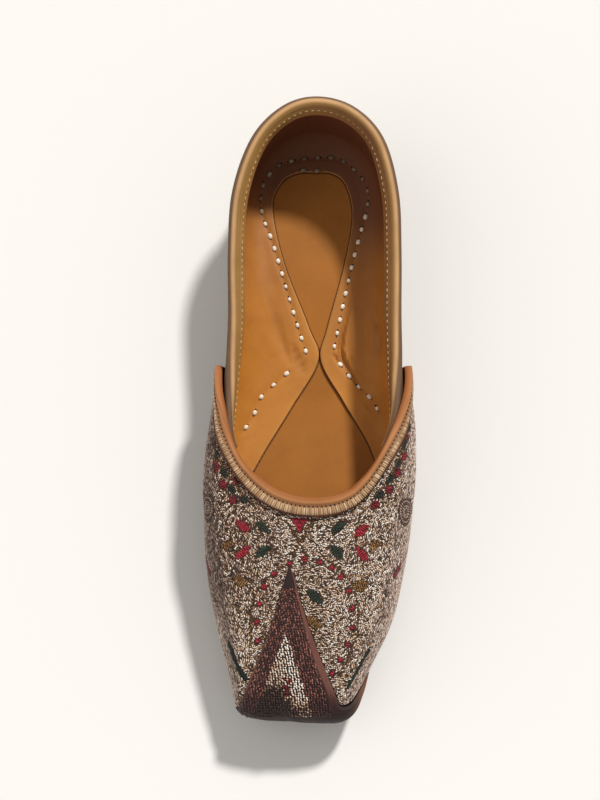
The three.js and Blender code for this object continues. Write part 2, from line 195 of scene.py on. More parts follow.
def insole_top(at):
    return sole_top(at) + GAP + INSOLE_THICK


def outline(turn, inward):
    """The widest line moved inwards, as x and the distance from the heel."""
    e = 0.01
    p, a, b = (ribs_at(turn + d) for d in (0, -e, e))
    tx = b["wide_x"] - a["wide_x"]
    ts = b["wide_at"] - a["wide_at"]
    span = np.hypot(tx, ts)
    return p["wide_x"] + ts / span * inward, p["wide_at"] - tx / span * inward


def feather_line(turn, inward):
    return outline(turn, ribs_at(turn)["tuck"] + inward)


def face(turn, h):
    """The upper's outer face. h is 0 at the feather edge, WIDE_AT at the widest line, 1 at the top edge."""
    turn, h = np.broadcast_arrays(np.asarray(turn, float), np.asarray(h, float))
    r = ribs_at(turn)
    low = np.maximum(0, 1 - h / WIDE_AT)
    wide_z = sole_top(feather_line(turn, 0)[1]) + GAP + r["belly"]
    x_low, at_low = outline(turn, r["tuck"] * low * low)
    share = (np.maximum(0, h - WIDE_AT) / (1 - WIDE_AT)) ** 2

    def turn_over(v):
        return np.sqrt(1 - np.maximum(0, 1 - v) ** r["round"])

    climb = r["slope"] * np.hypot(r["edge_x"] - r["wide_x"], r["edge_at"] - r["wide_at"])
    rise = (r["edge_z"] - wide_z - climb) * turn_over(share * r["reach"]) / turn_over(r["reach"])
    under = low > 0
    x = np.where(under, x_low, mix(r["wide_x"], r["edge_x"], share))
    at = np.where(under, at_low, mix(r["wide_at"], r["edge_at"], share))
    z = np.where(under, wide_z - r["belly"] * low, wide_z + rise + climb * share)
    return np.stack([x, at, z], -1)


def offset_face(turn, h, out):
    """The same face moved outwards. At the feather edge it moves level, and stays on the sole."""
    e = 0.02
    turn, h, out = np.broadcast_arrays(*(np.asarray(v, float) for v in (turn, h, out)))
    p = face(turn, h)
    along = face(turn + e, h) - face(turn - e, h)
    up = face(turn, np.minimum(1, h + e)) - face(turn, np.maximum(0, h - e))
    n = np.cross(up, along)
    n[..., 2] *= smooth(0, WIDE_AT, h)
    moved = p + unit(n) * out[..., None]
    on_sole = sole_top(moved[..., 1]) - sole_top(p[..., 1])
    moved[..., 2] += on_sole * np.maximum(0, 1 - h / WIDE_AT)
    return moved


def past_edge(turn, h, out, beyond):
    """A point out from the face at a rib's top row, and beyond that row along the leather."""
    top = offset_face(turn, h, out)
    up = unit(top - offset_face(turn, h - 0.03, out))
    return top + up * np.asarray(beyond, float)[..., None]


def from_toe(turn):
    return np.minimum(np.abs(turn), np.abs(LOOP - turn))


def run_along(points):
    """Distances run along lines of points, shaped (..., points of a line, 3), from 0 at each line's start."""
    steps = np.linalg.norm(np.diff(points, axis=-2), axis=-1)
    return np.concatenate([np.zeros_like(steps[..., :1]), steps.cumsum(axis=-1)], axis=-1)


def heights_below(turn, top, distances):
    """For each rib, the heights whose distances down from its top edge are these arc lengths."""
    h = top[:, None] * (1 - np.linspace(0, 1, 400))
    length = run_along(face(turn[:, None], h))
    return np.stack([np.interp(distances[i], length[i], h[i]) for i in range(len(turn))])


def placed(points):
    """Points of the last, in the frame's metres."""
    x, at, z = np.moveaxis(np.asarray(points, float), -1, 0)
    return np.stack([x + SHIFT_X, LENGTH / 2 - at + SHIFT_AT, z], -1) * MM


def line_reach(plan, points):
    """How far plan points lie from a line, in millimetres, and where along it, from 0 to 1."""
    line = np.array(points, float)
    gap = np.full(plan.shape[:-1], 1e9)
    run = np.zeros(plan.shape[:-1])
    for i, (a, b) in enumerate(zip(line[:-1], line[1:])):
        share = np.clip(((plan - a) @ (b - a)) / ((b - a) @ (b - a)), 0, 1)
        here = np.linalg.norm(plan - a - share[..., None] * (b - a), axis=-1)
        run = np.where(here < gap, (i + share) / (len(line) - 1), run)
        gap = np.minimum(gap, here)
    return gap, run


def near_line(x, at, points):
    return line_reach(np.stack([x, at], -1), points)[0]


def smooth_line(points, steps=16):
    rows = np.array(points, float)
    ends = [2 * rows[0] - rows[1], *rows, 2 * rows[-1] - rows[-2]]
    f = np.linspace(0, 1, steps, endpoint=False)[:, None]
    parts = [catmull(ends[i], ends[i + 1], ends[i + 2], ends[i + 3], f) for i in range(len(rows) - 1)]
    return np.concatenate([*parts, rows[-1:]])


# ---- Meshes ----
def grid_quads(rings, count, closed_rings, closed_ring):
    i, j = np.meshgrid(np.arange(rings if closed_rings else rings - 1),
                       np.arange(count if closed_ring else count - 1), indexing="ij")
    i2, j2 = (i + 1) % rings, (j + 1) % count
    return np.stack([i * count + j, i2 * count + j, i2 * count + j2, i * count + j2], -1).reshape(-1, 4)


def end_caps(rings, count):
    """Quads over both ends of an open tube, between its ring's first half and second half read backwards."""
    j = np.arange(count // 2 - 1)
    near = np.stack([j, j + 1, count - 2 - j, count - 1 - j], -1)
    far = near[:, ::-1] + (rings - 1) * count
    return np.concatenate([near, far])


def volume_of(points, quads):
    a, b, c, d = (points[quads[:, i]] for i in range(4))
    return (np.einsum("ij,ij", a, np.cross(b, c)) + np.einsum("ij,ij", a, np.cross(c, d))) / 6


def linked(name, data):
    """A new object in the scene."""
    thing = bpy.data.objects.new(name, data)
    bpy.context.scene.collection.objects.link(thing)
    return thing


def dress(piece, node=None):
    """Fixes a piece to the shoe, and hides the imported solid that it stands for, if one is named."""
    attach(piece, "root")
    if node:
        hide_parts(node)


def hold(mesh, label, numbers, kind="FLOAT"):
    """Numbers, or vectors, held at each point of a mesh."""
    data = mesh.attributes.new(label, kind, "POINT").data
    data.foreach_set("value" if kind == "FLOAT" else "vector", np.ravel(numbers).astype(np.float32))


def new_piece(name, points, quads, material, values, sharp=40):
    """A mesh piece in the frame. values are numbers held at each point, by name."""
    if volume_of(points, quads) < 0:
        quads = quads[:, ::-1]
    mesh = bpy.data.meshes.new(name)
    mesh.from_pydata(points.tolist(), [], quads.tolist())
    for label, numbers in values.items():
        hold(mesh, label, numbers)
    mesh.materials.append(material)
    mesh.polygons.foreach_set("use_smooth", [True] * len(mesh.polygons))
    mesh.set_sharp_from_angle(angle=math.radians(sharp))
    mesh.update()
    return linked(name, mesh)


def tube(name, sections, material, values, closed=False, sharp=40):
    """A closed body from rings of points of the last, shaped (rings, points of a ring, 3)."""
    rings, count = sections.shape[:2]
    points = placed(sections).reshape(-1, 3)
    quads = grid_quads(rings, count, closed, True)
    if not closed:
        quads = np.concatenate([quads, end_caps(rings, count)])
    return new_piece(name, points, quads, material, values, sharp)


def surface_of(piece):
    mesh = piece.data
    points = [v.co.copy() for v in mesh.vertices]
    return BVHTree.FromPolygons(points, [tuple(p.vertices) for p in mesh.polygons])


def dropped(surface, x, at):
    """Where plan points of the last meet a surface from above: places and normals, NaN where they miss."""
    above = placed(np.stack([x, at, np.full_like(x, 100.0)], -1))
    places, normals = np.full(above.shape, np.nan), np.full(above.shape, np.nan)
    for i, p in enumerate(above):
        hit, normal, _, _ = surface.ray_cast(Vector(p), Vector((0, 0, -1)))
        if hit is not None:
            places[i] = hit
            normals[i] = normal if normal.z > 0 else -normal
    return places, normals


# ---- Materials ----
def colour(code):
    """An sRGB hex colour as linear RGBA."""
    parts = [int(code[i : i + 2], 16) / 255 for i in (1, 3, 5)]
    return (*(c / 12.92 if c <= 0.04045 else ((c + 0.055) / 1.055) ** 2.4 for c in parts), 1)


def add(tree, kind, settings=None, inputs=None, stops=None):
    """A node with its settings, its input values or links, and a ramp's colour stops."""
    node = tree.nodes.new(kind)
    for key, value in (settings or {}).items():
        setattr(node, key, value)
    for key, value in (inputs or {}).items():
        if isinstance(value, bpy.types.NodeSocket):
            tree.links.new(value, node.inputs[key])
        else:
            node.inputs[key].default_value = value
    for i, (place, code) in enumerate(stops or ()):
        elements = node.color_ramp.elements
        stop = elements[i] if i < 2 else elements.new(place)
        stop.position = place
        stop.color = colour(code)
    return node


def new_material(name):
    material = bpy.data.materials.new(name)
    material.use_nodes = True
    material.node_tree.nodes.clear()
    return material, material.node_tree


def finish_material(tree, inputs, bump=None):
    shader = add(tree, "ShaderNodeBsdfPrincipled", inputs=inputs)
    if bump is not None:
        tree.links.new(bump.outputs["Normal"], shader.inputs["Normal"])
    add(tree, "ShaderNodeOutputMaterial", inputs={"Surface": shader.outputs["BSDF"]})


def object_mm(tree):
    """Object coordinates in millimetres."""
    place = add(tree, "ShaderNodeTexCoord").outputs["Object"]
    return add(tree, "ShaderNodeVectorMath", {"operation": "SCALE"}, {0: place, "Scale": 1 / MM}).outputs[0]


SEAM_REACH = 4 # the attribute "seam" is this on a seam, and falls by one for each millimetre away from it


def leather(name, stops, roughness=0.5, grain=0.55, relief=0.05, mottle=0.25, stain="#5a3418",
            dye_and_painted_light="#6e3f2c", seam_width=0.6):
    """Tanned hide, coloured by its stops along the attribute "zone". grain is the pebble size in millimetres
    and relief its depth. mottle is how much of the stain its patches take up. The last colour lies where its
    own attribute says and within seam_width of a seam; it is dye, and on some pieces also painted shade or a
    painted highlight."""
    material, tree = new_material(name)
    place = object_mm(tree)
    zones = add(tree, "ShaderNodeAttribute", {"attribute_name": "zone"})
    ramp = add(tree, "ShaderNodeValToRGB", inputs={"Fac": zones.outputs["Fac"]}, stops=stops)
    patches = add(tree, "ShaderNodeTexNoise",
                  inputs={"Vector": place, "Scale": 1 / 16, "Detail": 5.0, "Roughness": 0.6})
    amount = add(tree, "ShaderNodeMapRange",
                 inputs={"Value": patches.outputs["Fac"], 1: 0.42, 2: 0.72, 3: 0.0, 4: mottle})
    stained = add(tree, "ShaderNodeMix", {"data_type": "RGBA"},
                  {0: amount.outputs[0], 6: ramp.outputs["Color"], 7: colour(stain)})
    dye_and_light_values = add(tree, "ShaderNodeAttribute", {"attribute_name": "dye_and_painted_light"})
    seams = add(tree, "ShaderNodeAttribute", {"attribute_name": "seam"})
    start, full = SEAM_REACH - seam_width, SEAM_REACH - 0.25 * seam_width
    line = add(tree, "ShaderNodeMapRange", inputs={"Value": seams.outputs["Fac"], 1: start, 2: full})
    dye_and_light_share = add(tree, "ShaderNodeMath", {"operation": "MAXIMUM"},
                 {0: dye_and_light_values.outputs["Fac"], 1: line.outputs[0]})
    dyed_and_painted = add(tree, "ShaderNodeMix", {"data_type": "RGBA"},
               {0: dye_and_light_share.outputs[0], 6: stained.outputs[2], 7: colour(dye_and_painted_light)})
    pores = add(tree, "ShaderNodeTexVoronoi", {"feature": "DISTANCE_TO_EDGE"},
                {"Vector": place, "Scale": 1 / grain})
    edges = add(tree, "ShaderNodeMapRange", inputs={"Value": pores.outputs["Distance"], 1: 0.0, 2: 0.35})
    dust = add(tree, "ShaderNodeTexNoise", inputs={"Vector": place, "Scale": 1 / 2.5, "Detail": 4.0})
    smoothest, roughest = roughness - 0.06, roughness + 0.08
    rough = add(tree, "ShaderNodeMapRange",
                inputs={"Value": dust.outputs["Fac"], 1: 0.3, 2: 0.7, 3: smoothest, 4: roughest})
    grains = add(tree, "ShaderNodeMath", {"operation": "MULTIPLY_ADD"},
                 {0: dust.outputs["Fac"], 1: 0.8, 2: edges.outputs[0]})
    bump = add(tree, "ShaderNodeBump",
               inputs={"Height": grains.outputs[0], "Strength": 0.5, "Distance": relief * MM})
    finish_material(tree, {"Base Color": dyed_and_painted.outputs[2], "Roughness": rough.outputs[0], "IOR": 1.45,
                           "Specular IOR Level": 0.35}, bump)
    return material


def thread(name, stops, metallic=0.0, roughness=0.55, ply=0.35):
    """Spun or metal-wrapped thread. Each stitch has its own tone on the stops. ply is the twist's pitch."""
    material, tree = new_material(name)
    tone = add(tree, "ShaderNodeAttribute", {"attribute_name": "tone"})
    ramp = add(tree, "ShaderNodeValToRGB", inputs={"Fac": tone.outputs["Fac"]}, stops=stops)
    place = object_mm(tree)
    twist = add(tree, "ShaderNodeTexNoise", inputs={"Vector": place, "Scale": 1 / ply, "Detail": 2.0})
    bump = add(tree, "ShaderNodeBump",
               inputs={"Height": twist.outputs["Fac"], "Strength": 0.6, "Distance": 0.12 * MM})
    shade = add(tree, "ShaderNodeMapRange",
                inputs={"Value": twist.outputs["Fac"], 1: 0.3, 2: 0.7, 3: 0.75, 4: 1.1})
    lit = add(tree, "ShaderNodeVectorMath", {"operation": "SCALE"},
              {0: ramp.outputs["Color"], "Scale": shade.outputs[0]})
    finish_material(tree, {"Base Color": lit.outputs[0], "Metallic": metallic, "Roughness": roughness,
                           "IOR": 1.5}, bump)
    return material


def paper(name, code):
    """Matt seamless paper for the floor."""
    material, tree = new_material(name)
    finish_material(tree, {"Base Color": colour(code), "Roughness": 0.9, "IOR": 1.4})
    return material


# On the inside, the stops from 0.3 to 0.62 run darker towards the collar: painted shade on the upper wall.
LINING = leather(
    "vegetable_tanned_lining",
    ((0, "#63503f"), (0.2, "#725b48"), (0.3, "#80501a"), (0.45, "#a36626"), (0.62, "#c48031"),
     (0.88, "#c48338"), (0.93, "#c88a40"), (1, "#d8a262")),
    roughness=0.55, mottle=0.35, stain="#96591c", dye_and_painted_light="#6b3f2e", seam_width=1.4,
)
# Its dark dye colour draws the line along the lining's edge: partly a glue line, partly painted shadow.
INSOLE = leather(
    "waxed_insole_leather", ((0, "#98601f"), (0.5, "#a86a22"), (1, "#b0702a")),
    roughness=0.55, mottle=0.4, stain="#8c5418", dye_and_painted_light="#341c0b", seam_width=0.75,
)
SOLE = leather(
    "oak_tanned_sole_leather", ((0, "#7c5436"), (0.5, "#6b4630"), (1, "#5a3a27")),
    roughness=0.6, grain=0.9, mottle=0.4, stain="#3c2416",
)
LIFT = leather(
    "stacked_heel_leather", ((0, "#4a3022"), (0.5, "#5a3b28"), (1, "#4a3022")),
    roughness=0.55, grain=0.9, mottle=0.4, stain="#2c1a10",
)
# The light stops from 0.415 to 0.49 are a painted highlight on the top of the roll, and the dark stop at 0.52
# paints shade between the roll and the strip.
BINDING = leather(
    "folded_binding_leather",
    ((0, "#54402f"), (0.3, "#5f4836"), (0.385, "#6f523c"), (0.415, "#b48c5e"), (0.45, "#caa073"),
     (0.49, "#b88d5a"), (0.52, "#8f6c3a"), (0.56, "#a37a42"), (0.8, "#ae8348"), (0.88, "#c08c56"),
     (0.95, "#a46c3c"), (1, "#6a3824")),
    roughness=0.55, grain=0.4, mottle=0.3, stain="#7a5a34",
)
BAND = leather(
    "rosy_throat_leather",
    ((0, "#3a1d13"), (0.09, "#46261a"), (0.13, "#8a6444"), (0.5, "#94704c"), (0.56, "#8a5a3c"),
     (0.62, "#a8734a"), (0.72, "#bd8354"), (0.84, "#b47848"), (1, "#96592e")),
    roughness=0.6, grain=0.4, mottle=0.3, stain="#8a5430",
)
VAMP_GROUND = leather(
    "brown_vamp_ground", ((0, "#33261e"), (0.5, "#3c2d24"), (1, "#443329")),
    roughness=0.8, grain=0.5, mottle=0.3, stain="#241913",
)
# Its dye colour paints a highlight on the outer wing.
TOE = leather(
    "plum_toe_leather", ((0, "#352527"), (0.35, "#2c1c1c"), (0.7, "#472c27"), (1, "#6e463c")),
    roughness=0.58, grain=0.5, mottle=0.3, stain="#261614", dye_and_painted_light="#7c4c30",
)
SILVER = thread(
    "silver_wrapped_thread",
    ((0, "#38281f"), (0.2, "#785c4a"), (0.42, "#c09c84"), (0.62, "#e6cab0"), (0.82, "#f9e9d8"),
     (1, "#fffaf3")),
    metallic=0.1, roughness=0.32,
)
SIDE_SILK = thread(
    "pink_grey_silk", ((0, "#46362f"), (0.35, "#8a7064"), (0.7, "#b89e90"), (1, "#e6d4c6")), roughness=0.5,
)
GOLD = thread(
    "gold_wrapped_thread", ((0, "#432c1a"), (0.5, "#835d36"), (1, "#bd925a")), metallic=0.2, roughness=0.4,
)
RED = thread("crimson_silk", ((0, "#43121a"), (0.5, "#93172a"), (1, "#cc3046")), roughness=0.42)
GREEN = thread("bottle_green_silk", ((0, "#0e1813"), (0.5, "#1a2d22"), (1, "#304636")), roughness=0.5)
MAROON = thread(
    "maroon_cord", ((0, "#32201c"), (0.35, "#5f382f"), (0.7, "#96594b"), (1, "#bd8676")), roughness=0.42,
)
CREAM = thread(
    "waxed_cotton_cord", ((0, "#75604f"), (0.35, "#b8a28a"), (0.6, "#ecdfc6"), (1, "#fff8ea")),
    roughness=0.5, ply=0.6,
)
YELLOW = thread("pale_linen_thread", ((0, "#b78f5e"), (1, "#d8b48a")), roughness=0.55)
RIB = thread("golden_rib_cord", ((0, "#a8835e"), (0.5, "#c09c76"), (1, "#dcbf9c")), roughness=0.45)
DARK = thread("awl_slit_shadow", ((0, "#1c110b"), (1, "#2e1d14")), roughness=0.8)


# ---- Stitches ----
def stitch_tree():
    """Lays one rounded stitch on each point, turned by the point's own directions and grown by its size."""
    tree = bpy.data.node_groups.new("stitches", "GeometryNodeTree")
    kinds = {
        "Geometry": "NodeSocketGeometry", "Length": "NodeSocketFloat", "Width": "NodeSocketFloat",
        "Height": "NodeSocketFloat", "Unevenness": "NodeSocketFloat", "Fineness": "NodeSocketInt",
        "Seed": "NodeSocketInt", "Thread": "NodeSocketMaterial",
    }
    ids = {label: tree.interface.new_socket(label, in_out="INPUT", socket_type=kind).identifier
           for label, kind in kinds.items()}
    tree.interface.new_socket("Geometry", in_out="OUTPUT", socket_type="NodeSocketGeometry")
    start = add(tree, "NodeGroupInput").outputs
    bead = add(tree, "GeometryNodeMeshIcoSphere", inputs={"Radius": 0.5, "Subdivisions": start["Fineness"]})
    soft = add(tree, "GeometryNodeSetShadeSmooth", inputs={"Geometry": bead.outputs["Mesh"]})
    vectors = [
        add(tree, "GeometryNodeInputNamedAttribute", {"data_type": "FLOAT_VECTOR"}, {"Name": label})
        for label in ("out", "way", "size")
    ]
    out, way, size = (vector.outputs["Attribute"] for vector in vectors)
    turned = add(tree, "FunctionNodeAxesToRotation", {"primary_axis": "Z", "secondary_axis": "X"},
                 {"Primary Axis": out, "Secondary Axis": way})
    whole = add(tree, "ShaderNodeCombineXYZ",
                inputs={"X": start["Length"], "Y": start["Width"], "Z": start["Height"]})
    least = add(tree, "ShaderNodeMath", {"operation": "SUBTRACT"}, {0: 1.0, 1: start["Unevenness"]})
    most = add(tree, "ShaderNodeMath", {"operation": "ADD"}, {0: 1.0, 1: start["Unevenness"]})
    uneven = add(tree, "FunctionNodeRandomValue", {"data_type": "FLOAT"},
                 {2: least.outputs[0], 3: most.outputs[0], "Seed": start["Seed"]})
    sized = add(tree, "ShaderNodeVectorMath", {"operation": "MULTIPLY"}, {0: whole.outputs[0], 1: size})
    grown = add(tree, "ShaderNodeVectorMath", {"operation": "SCALE"},
                {0: sized.outputs[0], "Scale": uneven.outputs[1]})
    laid = add(tree, "GeometryNodeInstanceOnPoints",
               inputs={"Points": start["Geometry"], "Instance": soft.outputs["Geometry"],
                       "Rotation": turned.outputs["Rotation"], "Scale": grown.outputs[0]})
    real = add(tree, "GeometryNodeRealizeInstances", inputs={"Geometry": laid.outputs["Instances"]})
    done = add(tree, "GeometryNodeSetMaterial",
               inputs={"Geometry": real.outputs["Geometry"], "Material": start["Thread"]})
    add(tree, "NodeGroupOutput", inputs={"Geometry": done.outputs["Geometry"]})
    return tree, ids


STITCHES, STITCH_INPUTS = stitch_tree()


def sew(name, stitches, material, size, unevenness=0.12, fineness=1, seed=1):
    """One mesh of stitches, each of this length, width and height in millimetres. stitches is a list of
    (places, outs, ways, sizes, tones) groups, in metres."""
    places, outs, ways, sizes, tones = (np.concatenate([group[i] for group in stitches]) for i in range(5))
    keep = ~np.isnan(places).any(axis=1)
    mesh = bpy.data.meshes.new(name + "_points")
    mesh.from_pydata(places[keep].tolist(), [], [])
    for label, vectors in (("out", outs), ("way", ways), ("size", sizes)):
        hold(mesh, label, vectors[keep], "FLOAT_VECTOR")
    hold(mesh, "tone", tones[keep])
    piece = linked(name, mesh)
    modifier = piece.modifiers.new("stitches", "NODES")
    modifier.node_group = STITCHES
    length, width, height = (side * MM for side in size)
    for label, value in (("Length", length), ("Width", width), ("Height", height), ("Unevenness", unevenness),
                         ("Fineness", fineness), ("Seed", seed), ("Thread", material)):
        modifier[STITCH_INPUTS[label]] = value
    scene_now = bpy.context.evaluated_depsgraph_get()
    made = bpy.data.meshes.new_from_object(piece.evaluated_get(scene_now), preserve_all_data_layers=True,
                                           depsgraph=scene_now)
    piece.modifiers.clear()
    piece.data = made
    made.name = name
    dress(piece)


def even(count, size=(1, 1, 1)):
    return np.tile(np.array(size, float), (count, 1))


def walk(points, pitch, start=0.0):
    """Places at even distances along a line of points in metres, as numbers of its points."""
    length = run_along(points) / MM
    marks = np.arange(start, length[-1], pitch)
    return np.interp(marks, length, np.arange(len(points)))


def sampled(values, marks):
    """Values between the points of a line, at places given as numbers of its points."""
    low = np.minimum(marks.astype(int), len(values) - 2)
    share = (marks - low)[:, None]
    return values[low] * (1 - share) + values[low + 1] * share


def row_stitches(line, outs, pitch, tones, start=0.0, across=False, size=(1, 1, 1)):
    """Stitches along a line on a surface, or across it."""
    marks = walk(line, pitch, start)
    places = sampled(line, marks)
    normals = unit(sampled(outs, marks))
    ways = unit(sampled(np.gradient(line, axis=0), marks))
    if across:
        ways = np.cross(normals, ways)
    return places, normals, ways, even(len(marks), size), tones(len(marks))


# ---- Creases and stitched rows in the lining ----
# Soft folds pressed into the leather by hand and foot: half width, height, and places (x, at) along the fold.
CREASES = (
    # The pocket in the outer wall: its body, its valley by the stitches, the ridges on both sides of it and
    # the valley beyond it.
    (4.5, 1.5, ((18.5, 80), (19.5, 91), (19.5, 101), (22, 110))),
    (0.95, -1.8, ((17.8, 77.5), (15.7, 85.4), (13.9, 91.9), (12.9, 98.4), (13.5, 102.3), (15.9, 106.3),
                  (19.6, 112.2), (23.4, 117))),
    (0.8, 0.8, ((17.6, 82), (15.8, 91.9), (14.8, 98.4), (15.5, 102.3), (18, 106))),
    (1, 1.05, ((24.6, 79), (26.6, 88), (26.8, 97), (25.6, 106))),
    (1.1, -1.1, ((27.4, 84), (29.4, 96), (29.2, 106))),
    # Puckers where the rows of thongs meet, and farther along the outer row.
    (0.6, -1.2, ((9.8, 100.4), (11.6, 103), (13.3, 105.2))),
    (0.6, -0.9, ((17.3, 102), (18.2, 104.5), (18.8, 107))),
    (0.6, -0.9, ((22.9, 109), (23.6, 112), (24.2, 115))),
    (0.6, 0.4, ((20, 120), (24, 124), (27, 129))),
    # A trough and a swell in the inner wall.
    (1.8, -0.7, ((-21, 72), (-15.5, 86), (-10.4, 99), (-6.5, 107))),
    (3, 0.8, ((-24.5, 78), (-19, 92), (-14.5, 102))),
    # Three wrinkles at the waist.
    (0.6, -0.9, ((-7.6, 96), (-6.2, 101), (-5.4, 107))),
    (0.6, -0.85, ((-5.6, 98), (-4.4, 103), (-3.8, 109))),
    (0.55, -0.8, ((-3.6, 101), (-2.8, 105), (-2.6, 110))),
)

# Rows of thong stitches: the pitch, and places (x, at) on the lining.
THONG_ROWS = (
    (5.78, ((-1.7, 99.9), (-6.8, 84), (-11.7, 67.5), (-16.4, 52), (-20.4, 41), (-21.4, 33), (-19.2, 24.6),
            (-12, 17.4), (0.8, 15), (12, 15.2), (20, 21), (24.6, 28.4), (24.9, 37), (22.2, 47), (18.8, 60),
            (15, 76), (10.2, 98.6))),
    (7.4, ((-9.6, 108.6), (-15.4, 113.6), (-21.2, 119.4), (-24.2, 127), (-29, 134.6))),
    (6.2, ((12.6, 104.6), (17.4, 111), (22.2, 116), (27, 120.8), (30.4, 128))),
    (6, ((-3.6, 20.4), (3, 20.8), (7, 21))),
)
PULL_ROWS = 3 # the first rows, which pull the lining down
PULL, PULL_REACH = 0.4, 1.1 # how deep they pull it, and how far to each side


def from_thongs(plan):
    """How far plan points lie from the nearest row that pulls."""
    lines = [smooth_line(line, 6) for _, line in THONG_ROWS[:PULL_ROWS]]
    return np.min([line_reach(plan, line)[0] for line in lines], axis=0)


def crease_lift(sections):
    """How far each point of the lining is raised by the creases, which fade out at both ends."""
    plan = sections[..., :2]
    lift = np.zeros(plan.shape[:2])
    for width, height, points in CREASES:
        gap, run = line_reach(plan, points)
        fade = np.sin(np.pi * np.clip(run, 0.02, 0.98)) ** 0.6
        lift += height * fade * np.exp(-((gap / width) ** 2))
    return lift - PULL * np.exp(-((from_thongs(plan) / PULL_REACH) ** 2))


# ---- Upper: quarters and lining in one hollow shell ----
def hidden_margin(turn):
    """The lining's edge on the insole where the vamp hides it."""
    width = mix(TOE_MARGIN, HIDDEN_MARGIN,
                smooth(STATIONS.index("toe edge"), STATIONS.index("small toe"), from_toe(turn)))
    return np.stack(feather_line(turn, WALL + width), -1)


def margin_rows():
    rows = []
    for n in range(LOOP):
        own = min(n, LOOP - n)
        if own < MARGIN_START:
            rows.append(hidden_margin(np.array(float(n))))
            continue
        medial_at, medial, lateral_at, lateral = MARGIN[STATIONS[own]]
        rows.append(np.array([lateral, lateral_at] if n <= HEEL else [medial, medial_at]))
    return np.array(rows, float)


def margin_edge(turn):
    """The lining's inner edge on the insole."""
    base = np.floor(turn).astype(int)
    rows = margin_rows()
    edge = catmull(*(rows[(base + i) % LOOP] for i in (-1, 0, 1, 2)), (turn - base)[:, None])
    hidden = from_toe(turn) < MARGIN_START - 1
    return np.where(hidden[:, None], hidden_margin(turn), edge)


UPPER_STEP = 1 / 20 # turns between the upper's sections
OUTER_ROWS, WALL_ROWS, BEND_ROWS, FLOOR_ROWS = 34, 34, 14, 16
LINING_EDGE = 0.35 # the chamfer on the lining's edge
LONGEST_BEND = 11 # how far the lining takes to turn from the wall to the insole
THONG_FAINT = 1.1 # the attribute "seam" is this much less along the thongs, where the dye is fainter
# The dark counter: how many turns it reaches from the heel's centre on each side and how dark it is. Then how
# dark the painted shade is on the walls in front of it, and over how many turns it fades.
COUNTER_LATERAL, COUNTER_MEDIAL, COUNTER_DYE = 4.4, 3.6, 0.85
PAINTED_WALL_SHADE, WALL_SHADE_REACH = 0.3, 2.4
CREASE_SHADE = 0.4 # how dark the painted shade makes the bottom of a deep fold


def lining_dye_and_shade(turn, lift):
    reach = np.where(turn < HEEL, COUNTER_LATERAL, COUNTER_MEDIAL)
    round_heel = abs(turn - HEEL)
    dye_and_painted_light = np.broadcast_to((COUNTER_DYE * (1 - smooth(reach - 1.5, reach, round_heel)))[:, None], lift.shape)
    # The counter is the lining's own darker leather; in front of it, and at the bottom of deep folds, the
    # darkening is painted shade.
    dye_and_painted_light = dye_and_painted_light + PAINTED_WALL_SHADE * (1 - dye_and_painted_light) * (1 - smooth(reach, reach + WALL_SHADE_REACH, round_heel))[:, None]
    return np.maximum(dye_and_painted_light, CREASE_SHADE * smooth(0.15, 1.1, -lift))


